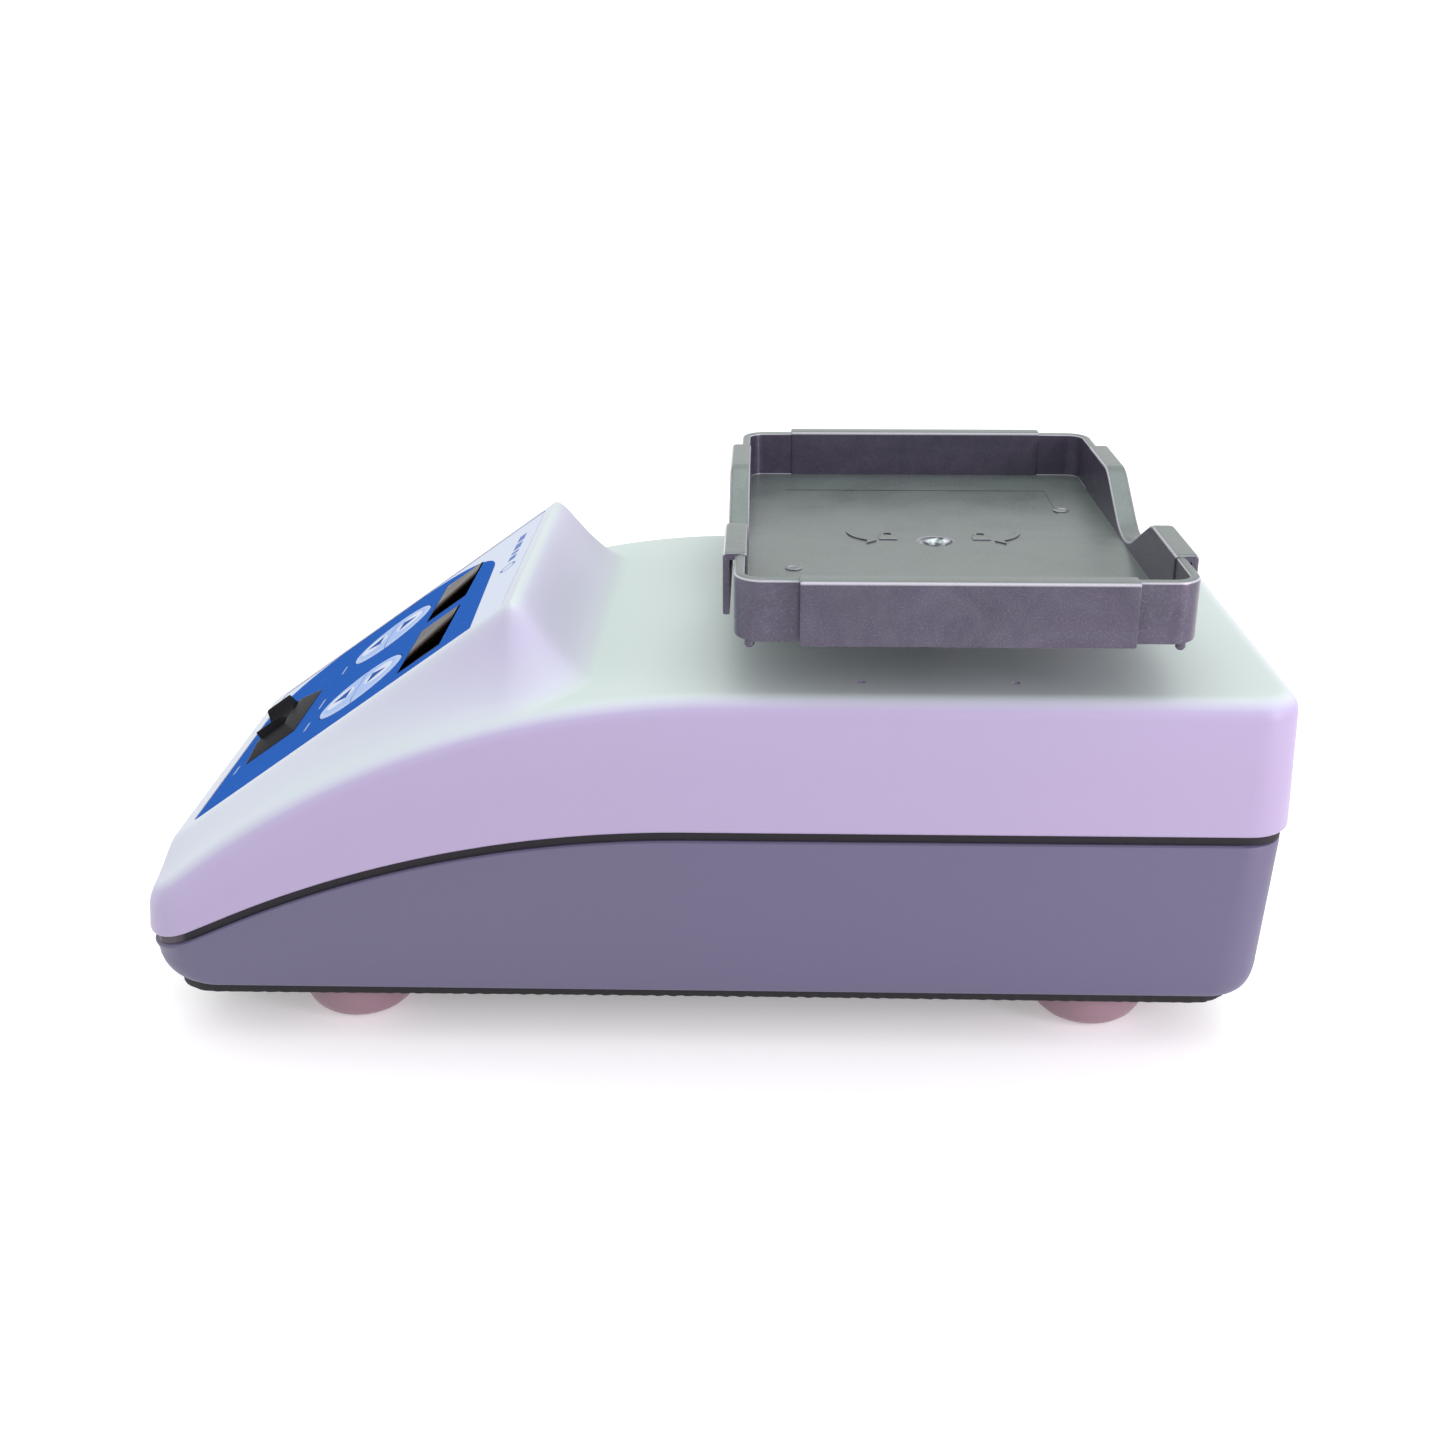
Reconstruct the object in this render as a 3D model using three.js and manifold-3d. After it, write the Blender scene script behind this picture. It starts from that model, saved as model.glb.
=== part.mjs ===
// Microplate shaker: a low wedge-shaped case with a sloping control panel and an orbiting plate tray.
// Millimetres, +Z up, +X towards the rear, origin on the table under the middle of the case.

import * as THREE from 'three';
import { mergeVertices } from 'three/addons/utils/BufferGeometryUtils.js';
import Module from 'manifold-3d';

const wasm = await Module();
wasm.setup();

// ---------------------------------------------------------------- driving dimensions

const BODY = { front: -122.6, rear: 121.2, half: 63, corner: 10, wall: 3 };
const DECK = { z: 82.7, draft: 0.8, edge: 4.2, bendX: 4, bendRadius: 187 };
const SEAM = { z: 53, height: 2.2, bendX: -5, bendRadius: 240, slope: 0.45, toeRadius: 29 };
const PANEL = { x: -115.8, z: 43.8, slope: 35.4 * Math.PI / 180, half: 41.5 };
const PODIUM = { frontX: -119.8, crestX: -42.2, flare: 18, toe: 2, fillet: 0.12, power: 1.5 };

const FOOT = { radius: 12.9, height: 9.8, frontX: -80.5, rearX: 85, y: 41 };
const PLATE = { bottom: 9.8, top: 14.2, front: -118.6, rear: 114, half: 56, corner: 8 };
const CASE = { floor: 17, wall: 2.8 };
const CASE_SCREWS = [[-101, 45], [-101, -45], [104.5, 45], [104.5, -45]];

const LABEL = { from: 0, to: 87.2, half: 39.5, corner: 1.5, recess: 1.2, bottom: -0.9, top: -0.1 };
const WINDOW = { u: 63.2, length: 11.5, width: 28, near: -19.5, far: 15.5 };
const KEY = { u: 42.8, halfLength: 11.8, halfWidth: 10.3, near: -19.5, far: 17, parting: 0.2 };
const SWITCH = { u: 14.4, y: -3.5, length: 15.4, width: 27.4, body: [12.8, 24.6], depth: 16, pivot: -0.6, tilt: 4.5 };
const BEZEL = { bottom: 0.2, top: 1.9, land: 0.4, wellHalfU: 3.95, wellHalfY: 7.6 };
const BOARD = { from: 25, to: 82, half: 35, top: -9.6, thick: 1.6 };

const DRIVE = { x: 48.25, throw: 2.25, idlerY: 17 };
const FRAME = { bottom: 58, thick: 3, halfX: 38, halfY: 34, screwX: 31, screwY: 27 };
const TRAY = { x: 50.5, bottom: 96.2, floor: 98, rim: 109, halfX: 43.25, halfY: 64.25, wall: 2.1 };
const SKIRT = { out: 2.5, rise: 0.4, longHalf: 32.6, shortHalf: 49.5 };
const NOTCH = { low: 98.6, lowRadius: 22, slope: 0.5, lineEnd: 22.6, rimRadius: 14, steps: 14 };
const INLET = { y: 22, z: 33 };

const FRAME_SCREWS = [
  [DRIVE.x + FRAME.screwX, FRAME.screwY],
  [DRIVE.x + FRAME.screwX, -FRAME.screwY],
  [DRIVE.x - FRAME.screwX, FRAME.screwY],
  [DRIVE.x - FRAME.screwX, -FRAME.screwY],
];
const BOARD_SCREWS = [[29, 31.5], [29, -31.5], [78, 31.5], [78, -31.5]];
const GAP = 0.3;

// ---------------------------------------------------------------- solids

function toSolid(geometry) {
  const bare = geometry.clone();
  bare.deleteAttribute('normal');
  bare.deleteAttribute('uv');
  const welded = mergeVertices(bare, 1e-4);
  const corners = welded.index.array;
  const kept = [];
  for (let i = 0; i < corners.length; i += 3) {
    const [a, b, c] = [corners[i], corners[i + 1], corners[i + 2]];
    if (a !== b && b !== c && c !== a) kept.push(a, b, c);
  }
  const vertProperties = new Float32Array(welded.attributes.position.array);
  const triVerts = new Uint32Array(facingOut(vertProperties, kept));
  return new wasm.Manifold(new wasm.Mesh({ numProp: 3, vertProperties, triVerts }));
}

// Turns the triangles round if the volume they enclose comes out negative.
function facingOut(points, corners) {
  const at = (i) => new THREE.Vector3().fromArray(points, corners[i] * 3);
  let volume = 0;
  for (let i = 0; i < corners.length; i += 3) {
    volume += at(i).dot(at(i + 1).cross(at(i + 2)));
  }
  return volume < 0 ? [...corners].reverse() : corners;
}

function toGeometry(solid) {
  const mesh = solid.getMesh();
  const geometry = new THREE.BufferGeometry();
  geometry.setAttribute('position', new THREE.BufferAttribute(new Float32Array(mesh.vertProperties), 3));
  geometry.setIndex(new THREE.BufferAttribute(new Uint32Array(mesh.triVerts), 1));
  geometry.computeVertexNormals();
  return geometry;
}

function join(first, ...others) {
  return others.reduce((whole, piece) => whole.add(piece), first);
}

function cut(first, ...tools) {
  return tools.reduce((whole, tool) => whole.subtract(tool), first);
}

// ---------------------------------------------------------------- basic shapes

function block(x0, x1, y0, y1, z0, z1) {
  const geometry = new THREE.BoxGeometry(x1 - x0, y1 - y0, z1 - z0);
  return geometry.translate((x0 + x1) / 2, (y0 + y1) / 2, (z0 + z1) / 2);
}

// A shape turned about a vertical axis: the profile lists [radius, height] and starts and ends at radius 0.
function turned(profile, x = 0, y = 0, sides = 24) {
  const points = profile.map(([radius, height]) => new THREE.Vector2(radius, height));
  return new THREE.LatheGeometry(points, sides).rotateX(Math.PI / 2).translate(x, y, 0);
}

function rod(radius, z0, z1, x = 0, y = 0, sides = 24) {
  return turned([[0, z0], [radius, z0], [radius, z1], [0, z1]], x, y, sides);
}

function ring(inner, outer, z0, z1, x = 0, y = 0, sides = 24) {
  return turned([[inner, z0], [outer, z0], [outer, z1], [inner, z1], [inner, z0]], x, y, sides);
}

function roundedPlate(x0, x1, y0, y1, radius, z0, z1) {
  const shape = new THREE.Shape();
  shape.absarc(x1 - radius, y1 - radius, radius, 0, Math.PI / 2);
  shape.absarc(x0 + radius, y1 - radius, radius, Math.PI / 2, Math.PI);
  shape.absarc(x0 + radius, y0 + radius, radius, Math.PI, Math.PI * 1.5);
  shape.absarc(x1 - radius, y0 + radius, radius, Math.PI * 1.5, Math.PI * 2);
  return raised(shape, z0, z1, 4);
}

function raised(shape, z0, z1, curveSegments) {
  const options = { depth: z1 - z0, bevelEnabled: false, curveSegments };
  return new THREE.ExtrudeGeometry(shape, options).translate(0, 0, z0);
}

// ---------------------------------------------------------------- lofted case shapes

// Distance an arc falls away from its tangent.
function sag(radius, along) {
  return radius - Math.sqrt(radius * radius - along * along);
}

// Height of the line where the cover meets the lower case: level, a bend, a straight fall, a toe.
function seamHeight(x) {
  const turn = Math.sin(Math.atan(SEAM.slope));
  const lineTop = SEAM.bendX - SEAM.bendRadius * turn;
  const lineFoot = BODY.front + SEAM.toeRadius * turn;
  if (x > SEAM.bendX) return SEAM.z;
  if (x > lineTop) return SEAM.z - sag(SEAM.bendRadius, SEAM.bendX - x);
  const fall = sag(SEAM.bendRadius, SEAM.bendX - lineTop) + SEAM.slope * (lineTop - Math.max(x, lineFoot));
  if (x > lineFoot) return SEAM.z - fall;
  const toe = sag(SEAM.toeRadius, lineFoot - BODY.front) - sag(SEAM.toeRadius, Math.max(0, x - BODY.front));
  return SEAM.z - fall - toe;
}

// Height of the cover's shoulder: the level deck, then one long arc down to the front.
function shoulderHeight(x) {
  return DECK.z - sag(DECK.bendRadius, Math.max(0, DECK.bendX - x));
}

// How much of the podium's height is left at a distance outside its flat top, from 1 down to 0.
function flare(distance) {
  const soft = Math.sqrt(distance * distance + PODIUM.fillet ** 2) - PODIUM.fillet;
  const full = Math.sqrt(1 + PODIUM.fillet ** 2) - PODIUM.fillet;
  return Math.max(0, 1 - soft / full) ** PODIUM.power;
}

// Height of the cover's top: the shoulder surface with the panel podium standing on it.
function coverTop(x, y) {
  const panelX = Math.min(Math.max(x, PODIUM.frontX), PODIUM.crestX);
  const rise = PANEL.z + Math.tan(PANEL.slope) * (panelX - PANEL.x) - shoulderHeight(panelX);
  const behind = Math.max(0, x - PODIUM.crestX) / PODIUM.flare;
  const ahead = Math.max(0, PODIUM.frontX - x) / PODIUM.toe;
  const beside = Math.max(0, Math.abs(y) - PANEL.half) / PODIUM.flare;
  return shoulderHeight(x) + rise * flare(Math.hypot(behind, ahead, beside));
}

// Stations along the case, close together where the podium's crest curves.
const STATIONS = [
  -102, -96, -88, -80, -72, -64, -56, -50,
  ...[-3, -1, 1, 3.5, 6.5, 10, 13.5, 17.5, 23].map((step) => PODIUM.crestX + step),
  -12, 0, 35, 80, 96,
];
const STATION_END = 108;
const STATION_FREE = 80;

// A rounded rectangle seen from above, counter-clockwise from its front right corner, as mirrored halves.
function planRing({ front, rear, half, corner }, heightAt) {
  const steps = 4;
  const start = front + corner;
  const finish = rear - corner;
  const side = [];
  for (let i = 0; i <= steps; i += 1) {
    const angle = (i / steps) * Math.PI / 2;
    side.push([start - corner * Math.cos(angle), half - corner + corner * Math.sin(angle)]);
  }
  for (const x of STATIONS) {
    const end = x < 0 ? start : finish;
    const beyond = Math.max(0, Math.abs(x) - STATION_FREE) / (STATION_END - STATION_FREE);
    side.push([beyond ? Math.sign(x) * STATION_FREE * (1 - beyond) + end * beyond : x, half]);
  }
  for (let i = 0; i <= steps; i += 1) {
    const angle = (i / steps) * Math.PI / 2;
    side.push([finish + corner * Math.sin(angle), half - corner + corner * Math.cos(angle)]);
  }
  const right = side.map(([x, y]) => [x, -y, heightAt(x, y)]);
  const left = side.map(([x, y]) => [x, y, heightAt(x, y)]).reverse();
  return [...right, ...left];
}

// Joins rings of equal length from the bottom up and closes both ends with strips across the case.
function loft(rings) {
  const count = rings[0].length;
  const index = [];
  const quad = (a, b, c, d) => index.push(a, b, c, a, c, d);
  for (let level = 0; level + 1 < rings.length; level += 1) {
    for (let i = 0; i < count; i += 1) {
      const next = (i + 1) % count;
      const low = level * count;
      quad(low + i, low + next, low + count + next, low + count + i);
    }
  }
  const top = (rings.length - 1) * count;
  for (let i = 0; i + 1 < count / 2; i += 1) {
    const mirror = count - 1 - i;
    quad(top + i, top + i + 1, top + mirror - 1, top + mirror);
    quad(mirror, mirror - 1, i + 1, i);
  }
  const geometry = new THREE.BufferGeometry();
  geometry.setAttribute('position', new THREE.Float32BufferAttribute(rings.flat(2), 3));
  geometry.setIndex(index);
  return geometry;
}

// ---------------------------------------------------------------- scene graph and finishes

const shaker = new THREE.Group();
const panel = new THREE.Group();
panel.position.set(PANEL.x, 0, PANEL.z);
panel.rotation.y = -PANEL.slope;
panel.updateMatrix();
shaker.add(panel);

const FINISHES = {
  cover: [0xe4e2ea, 0.45, 0],
  case: [0x7c7590, 0.5, 0],
  seam: [0x1c1a20, 0.7, 0],
  plate: [0x232226, 0.6, 0.2],
  foot: [0xb98a98, 0.55, 0],
  tray: [0x5c5866, 0.38, 0.25],
  label: [0x2f63b8, 0.35, 0],
  window: [0x0d0c10, 0.12, 0],
  key: [0xa9c0e8, 0.4, 0],
  switch: [0x161518, 0.4, 0],
  board: [0x1f5c3a, 0.6, 0],
  component: [0x2a2a2e, 0.5, 0.1],
  aluminium: [0xb8bcc2, 0.35, 0.9],
  steel: [0x9a9da3, 0.3, 1],
  bronze: [0xa9824a, 0.4, 0.9],
};

function addPart(name, solid, finish, parent = shaker) {
  const [color, roughness, metalness] = FINISHES[finish];
  const mesh = new THREE.Mesh(toGeometry(solid), new THREE.MeshStandardMaterial({ color, roughness, metalness }));
  mesh.name = name;
  parent.add(mesh);
}

// The same solid as seen from the case, for cutting the cover with a shape drawn on the panel.
function onPanel(geometry) {
  return toSolid(geometry.applyMatrix4(panel.matrix));
}

// ---------------------------------------------------------------- top cover

// A skin from its foot up over the rounded shoulder to the flat strip down the middle.
function coverSkin(inset, footHeight) {
  const edgeSteps = 3;
  const plan = (drawn) => ({
    front: BODY.front + inset + 0.35 * drawn,
    rear: BODY.rear - inset - drawn,
    half: BODY.half - inset - drawn,
    corner: Math.max(1.5, BODY.corner - inset - drawn),
  });
  const rings = [planRing(plan(0), footHeight)];
  for (let step = 0; step <= edgeSteps; step += 1) {
    const angle = (step / edgeSteps) * Math.PI / 2;
    const drawn = DECK.draft + DECK.edge * (1 - Math.cos(angle));
    const lowered = inset + DECK.edge * (1 - Math.sin(angle));
    rings.push(planRing(plan(drawn), (x, y) => coverTop(x, y) - lowered));
  }
  for (const out of [12.5, 8.5, 5, 2.5, 0]) {
    const flat = { ...plan(DECK.draft + DECK.edge + 1.5), half: PANEL.half + out };
    rings.push(planRing(flat, (x, y) => coverTop(x, y) - inset));
  }
  return toSolid(loft(rings));
}

function windowHole(centre, clearance) {
  const halfU = WINDOW.length / 2 + clearance;
  const halfY = WINDOW.width / 2 + clearance;
  return block(WINDOW.u - halfU, WINDOW.u + halfU, centre - halfY, centre + halfY, -12, 4);
}

function keyStemPlace(centre, direction) {
  return [KEY.u + direction * KEY.halfLength * 0.52, centre];
}

function keyOval(centre, clearance, z0, z1) {
  const shape = new THREE.Shape();
  const halfU = KEY.halfLength + clearance;
  const halfY = KEY.halfWidth + clearance;
  shape.absellipse(KEY.u, centre, halfU, halfY, 0, Math.PI * 2);
  return raised(shape, z0, z1, 14);
}

function switchHole(clearance) {
  const [length, width] = SWITCH.body;
  const halfU = length / 2 + clearance;
  const halfY = width / 2 + clearance;
  return block(SWITCH.u - halfU, SWITCH.u + halfU, SWITCH.y - halfY, SWITCH.y + halfY, -20, 4);
}

function buildCover() {
  const outer = coverSkin(0, (x) => seamHeight(x));
  const inner = coverSkin(BODY.wall, (x) => seamHeight(x) - 6);
  let cover = cut(outer, inner);

  for (const [x, y] of CASE_SCREWS) {
    const post = toSolid(rod(4, CASE.floor + 0.1, coverTop(x - 4, y) - 1, x, y, 16));
    cover = cut(join(cover, post), toSolid(rod(1.7, CASE.floor, 34, x, y, 12)));
  }
  for (const y of [-DRIVE.idlerY, DRIVE.idlerY]) {
    const boss = toSolid(rod(6, 76.5, DECK.z - 1, DRIVE.x, y, 16));
    cover = cut(join(cover, boss), toSolid(rod(3.7, 70, 90, DRIVE.x, y, 16)));
  }
  cover = cut(cover, toSolid(rod(9, 70, 90, DRIVE.x, 0, 24)));

  const standoffs = BOARD_SCREWS.map(([u, y]) => onPanel(rod(3.2, BOARD.top + GAP, -2, u, y, 12)));
  cover = join(cover, ...standoffs);
  const recess = roundedPlate(LABEL.from - GAP, LABEL.to + GAP, -LABEL.half - GAP, LABEL.half + GAP,
    LABEL.corner, -LABEL.recess, 6);
  cover = cut(cover, onPanel(recess), onPanel(switchHole(GAP)));
  for (const centre of [WINDOW.near, WINDOW.far]) {
    cover = cut(cover, onPanel(windowHole(centre, GAP)));
  }
  for (const [u, y] of BOARD_SCREWS) {
    cover = cut(cover, onPanel(rod(1.4, BOARD.top, -4, u, y, 12)));
  }
  for (const centre of [KEY.near, KEY.far]) {
    for (const direction of [-1, 1]) {
      cover = cut(cover, onPanel(rod(2.5, -12, 4, ...keyStemPlace(centre, direction), 12)));
    }
  }
  return cover;
}

addPart('top_cover', buildCover(), 'cover');

// ---------------------------------------------------------------- lower case, seam, plate and feet

function caseSkin(inset, floor, lift) {
  const levels = [
    { z: floor, front: -116, rear: 116.2, half: 60.4, corner: 10 },
    { z: floor + 1.2, front: -119.4, rear: 117.4, half: 61.2, corner: 10 },
    { z: floor + 3.6, front: -121, rear: 118.2, half: 61.5, corner: 10 },
    { z: floor + 7.2, front: -121.8, rear: 118.6, half: 61.7, corner: 10 },
    { front: -122, rear: 120.2, half: 62.4, corner: 9.5 },
  ];
  const rings = levels.map(({ z, front, rear, half, corner }) => planRing({
    front: front + inset,
    rear: rear - inset,
    half: half - inset,
    corner: corner - inset,
  }, (x) => z ?? seamHeight(x) - SEAM.height + lift));
  return toSolid(loft(rings));
}

function buildCase() {
  const inner = caseSkin(CASE.wall, CASE.floor, 4);
  let tub = cut(caseSkin(0, PLATE.top, 0), inner);
  for (const [x, y] of FRAME_SCREWS) {
    const post = toSolid(rod(4.5, CASE.floor - 1, FRAME.bottom, x, y, 16));
    tub = cut(join(tub, post), toSolid(rod(1.7, 46, FRAME.bottom + 1, x, y, 12)));
  }
  for (const [x, y] of CASE_SCREWS) {
    tub = cut(tub, toSolid(rod(2, PLATE.top - 1, CASE.floor + 1, x, y, 12)));
  }
  const socket = rod(5.9, 100, 130, 0, 0, 20).rotateY(Math.PI / 2).translate(0, INLET.y, INLET.z);
  return cut(tub, toSolid(socket));
}

addPart('lower_case', buildCase(), 'case');

function seamBand(inset, low, high) {
  const plan = { front: BODY.front + inset, rear: BODY.rear - inset, half: BODY.half - inset, corner: 9 - inset };
  return toSolid(loft([planRing(plan, (x) => seamHeight(x) - low), planRing(plan, (x) => seamHeight(x) - high)]));
}

addPart('seam_gasket', cut(seamBand(1.6, SEAM.height - 0.2, 0.2), seamBand(3.4, SEAM.height + 1, -1)), 'seam');

function buildPlate() {
  const sheet = roundedPlate(PLATE.front, PLATE.rear, -PLATE.half, PLATE.half, PLATE.corner, PLATE.bottom, PLATE.top);
  const holes = CASE_SCREWS.map(([x, y]) => join(
    toSolid(rod(2, PLATE.bottom - 1, PLATE.top + 1, x, y, 12)),
    toSolid(rod(3.6, PLATE.bottom - 1, PLATE.bottom + 2.6, x, y, 16)),
  ));
  return cut(toSolid(sheet), ...holes);
}

addPart('base_plate', buildPlate(), 'plate');

function footProfile() {
  const { radius, height } = FOOT;
  return [[0, 0], [6.5, 0], [10, 1.2], [12.1, 3.4], [radius, 6.2], [radius, height], [0, height]];
}

for (const [end, x] of [['front', FOOT.frontX], ['rear', FOOT.rearX]]) {
  for (const [side, y] of [['right', -FOOT.y], ['left', FOOT.y]]) {
    addPart(`foot_${end}_${side}`, toSolid(turned(footProfile(), x, y, 24)), 'foot');
  }
}

// A pan-head screw standing head down, with its head's underside at the given height.
function screw(x, y, seat, shaftRadius, headRadius, headHeight, length) {
  const low = seat - headHeight;
  const profile = [[0, low], [headRadius, low], [headRadius, seat], [shaftRadius, seat]];
  return turned([...profile, [shaftRadius, seat + length], [0, seat + length]], x, y, 12);
}

CASE_SCREWS.forEach(([x, y], i) => {
  const seat = PLATE.bottom + 2.6;
  addPart(`case_screw_${i + 1}`, toSolid(screw(x, y, seat, 1.5, 3.1, 2, 18)), 'steel');
});

// ---------------------------------------------------------------- rear power inlet

function buildInlet() {
  const profile = [[0, 0], [5.5, 0], [5.5, 12.6], [7.4, 12.6], [7.4, 15], [3.2, 15], [3.2, 4], [1, 4], [1, 13], [0, 13]];
  return turned(profile, 0, 0, 20).rotateY(Math.PI / 2).translate(107.6, INLET.y, INLET.z);
}

addPart('power_inlet', toSolid(buildInlet()), 'component');
const nut = ring(6.7, 8.6, 108, 110.6, 0, 0, 6).rotateY(Math.PI / 2).translate(0, INLET.y, INLET.z);
addPart('inlet_nut', toSolid(nut), 'steel');

// ---------------------------------------------------------------- control panel

function buildLabel() {
  const { from, to, half, corner, bottom, top } = LABEL;
  const sheet = toSolid(roundedPlate(from, to, -half, half, corner, bottom, top));
  const holes = [toSolid(switchHole(GAP))];
  for (const centre of [WINDOW.near, WINDOW.far]) holes.push(toSolid(windowHole(centre, GAP)));
  for (const centre of [KEY.near, KEY.far]) holes.push(toSolid(keyOval(centre, GAP, -3, 3)));
  return cut(sheet, ...holes);
}

addPart('overlay_label', buildLabel(), 'label', panel);

for (const [name, centre] of [['speed', WINDOW.near], ['time', WINDOW.far]]) {
  const halfU = WINDOW.length / 2;
  const halfY = WINDOW.width / 2;
  const pane = roundedPlate(WINDOW.u - halfU, WINDOW.u + halfU, centre - halfY, centre + halfY, 0.6, -2.6, 0);
  addPart(`${name}_display_window`, toSolid(pane), 'window', panel);
  const digits = block(WINDOW.u - halfU + 0.5, WINDOW.u + halfU - 0.5, centre - halfY + 0.5, centre + halfY - 0.5,
    BOARD.top + GAP, -3);
  addPart(`${name}_display_module`, toSolid(digits), 'component', panel);
}

// Each oval is parted across the middle into an up key and a down key, each with a stem below.
for (const [name, centre] of [['speed', KEY.near], ['time', KEY.far]]) {
  for (const [way, direction] of [['up', 1], ['down', -1]]) {
    const edge = KEY.u + direction * KEY.parting;
    const side = block(Math.min(edge, edge + direction * 30), Math.max(edge, edge + direction * 30),
      centre - 30, centre + 30, -3, 3);
    const pad = toSolid(keyOval(centre, 0, -0.65, 0.05)).intersect(toSolid(side));
    const [u, y] = keyStemPlace(centre, direction);
    addPart(`${name}_${way}_key`, join(pad, toSolid(rod(2, -4.6, -0.5, u, y, 12))), 'key', panel);
    const dome = join(
      toSolid(block(u - 3, u + 3, y - 3, y + 3, BOARD.top + GAP, -6)),
      toSolid(rod(1.7, -7, -5.2, u, y, 12)),
    );
    addPart(`${name}_${way}_tact_switch`, dome, 'component', panel);
  }
}

function buildBoard() {
  const { from, to, half, top, thick } = BOARD;
  const sheet = toSolid(block(from, to, -half, half, top - thick, top));
  return cut(sheet, ...BOARD_SCREWS.map(([u, y]) => toSolid(rod(1.7, top - 3, top + 1, u, y, 12))));
}

addPart('control_board', buildBoard(), 'board', panel);

BOARD_SCREWS.forEach(([u, y], i) => {
  const seat = BOARD.top - BOARD.thick - 0.1;
  addPart(`board_screw_${i + 1}`, toSolid(screw(u, y, seat, 1.1, 2.4, 1.6, 5)), 'steel', panel);
});

// The bezel slopes up on all four sides to a narrow land round the well.
function buildSwitchHousing() {
  const { u, y, length, width, body, depth } = SWITCH;
  const { bottom, top, land, wellHalfU, wellHalfY } = BEZEL;
  const corners = [];
  for (const [halfU, halfY, n] of [[length / 2, width / 2, bottom], [wellHalfU + land, wellHalfY + land, top]]) {
    for (const sideU of [-1, 1]) {
      for (const sideY of [-1, 1]) corners.push([u + sideU * halfU, y + sideY * halfY, n]);
    }
  }
  const box = block(u - body[0] / 2, u + body[0] / 2, y - body[1] / 2, y + body[1] / 2, -depth, 1);
  const well = block(u - wellHalfU, u + wellHalfU, y - wellHalfY, y + wellHalfY, -7, 5);
  return cut(join(wasm.Manifold.hull(corners), toSolid(box)), toSolid(well));
}

addPart('switch_housing', buildSwitchHousing(), 'switch', panel);

// The rocker has an ear at each end and a hollow between, and turns about a pin along the slope.
function buildRocker() {
  const shape = new THREE.Shape();
  const halfOutline = [[0, 1.9], [2.4, 2.2], [4.4, 3.2], [5.9, 4.6], [6.4, 4.75], [7, 2.2], [6.8, -1.4], [2.6, -3.2]];
  const outline = [...halfOutline, ...halfOutline.slice(1).reverse().map(([y, z]) => [-y, z])];
  outline.forEach(([y, z], i) => (i ? shape.lineTo(y, z) : shape.moveTo(y, z)));
  shape.closePath();
  const across = new THREE.Matrix4().makeBasis(
    new THREE.Vector3(0, 1, 0), new THREE.Vector3(0, 0, 1), new THREE.Vector3(1, 0, 0));
  return toSolid(raised(shape, -3.6, 3.6, 1).applyMatrix4(across));
}

const rockerGroup = new THREE.Group();
rockerGroup.position.set(SWITCH.u, SWITCH.y, SWITCH.pivot);
rockerGroup.rotation.x = SWITCH.tilt * Math.PI / 180;
panel.add(rockerGroup);
addPart('power_rocker', buildRocker(), 'switch', rockerGroup);

// ---------------------------------------------------------------- drive

const FRAME_TOP = FRAME.bottom + FRAME.thick;

function buildDrivePlate() {
  const { halfX, halfY, bottom } = FRAME;
  const sheet = roundedPlate(DRIVE.x - halfX, DRIVE.x + halfX, -halfY, halfY, 6, bottom, FRAME_TOP);
  const holes = FRAME_SCREWS.map(([x, y]) => toSolid(rod(1.8, bottom - 1, FRAME_TOP + 1, x, y, 12)));
  return cut(toSolid(sheet), ...holes, toSolid(rod(6, bottom - 1, FRAME_TOP + 1, DRIVE.x, 0)));
}

addPart('drive_plate', buildDrivePlate(), 'aluminium');

FRAME_SCREWS.forEach(([x, y], i) => {
  const profile = [[0, 50], [1.5, 50], [1.5, FRAME_TOP], [3, FRAME_TOP], [3, FRAME_TOP + 2.2], [0, FRAME_TOP + 2.2]];
  addPart(`drive_plate_screw_${i + 1}`, toSolid(turned(profile, x, y, 12)), 'steel');
});

const motorProfile = [[0, 24], [19, 24], [21, 26], [21, 56], [20, 58], [3.2, 58], [3.2, 27], [0, 27]];
addPart('motor', toSolid(turned(motorProfile, DRIVE.x, 0, 32)), 'component');
addPart('bearing_housing', toSolid(ring(8.3, 12.5, FRAME_TOP, 68, DRIVE.x, 0)), 'aluminium');
addPart('shaft_bearing', toSolid(ring(2.9, 8, 62.4, 67.6, DRIVE.x, 0)), 'steel');
addPart('motor_shaft', toSolid(rod(2.5, 29, 77.5, DRIVE.x, 0, 16)), 'steel');

// The hub clamps on the shaft and carries the crank pin off centre.
function buildHub() {
  const body = toSolid(rod(6.2, 69.5, 84.8, DRIVE.x, 0));
  const pin = toSolid(rod(3, 84, 92.6, DRIVE.x + DRIVE.throw, 0, 20));
  return cut(join(body, pin), toSolid(rod(2.8, 68, 78, DRIVE.x, 0, 16)));
}

addPart('eccentric_hub', buildHub(), 'steel');

function buildCounterweight() {
  const disc = toSolid(rod(27, 69.5, 75, DRIVE.x, 0, 32));
  const frontSide = toSolid(block(DRIVE.x + 7.5, DRIVE.x + 40, -40, 40, 60, 80));
  return cut(disc, frontSide, toSolid(rod(6.5, 60, 80, DRIVE.x, 0)));
}

addPart('counterweight', buildCounterweight(), 'steel');

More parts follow.
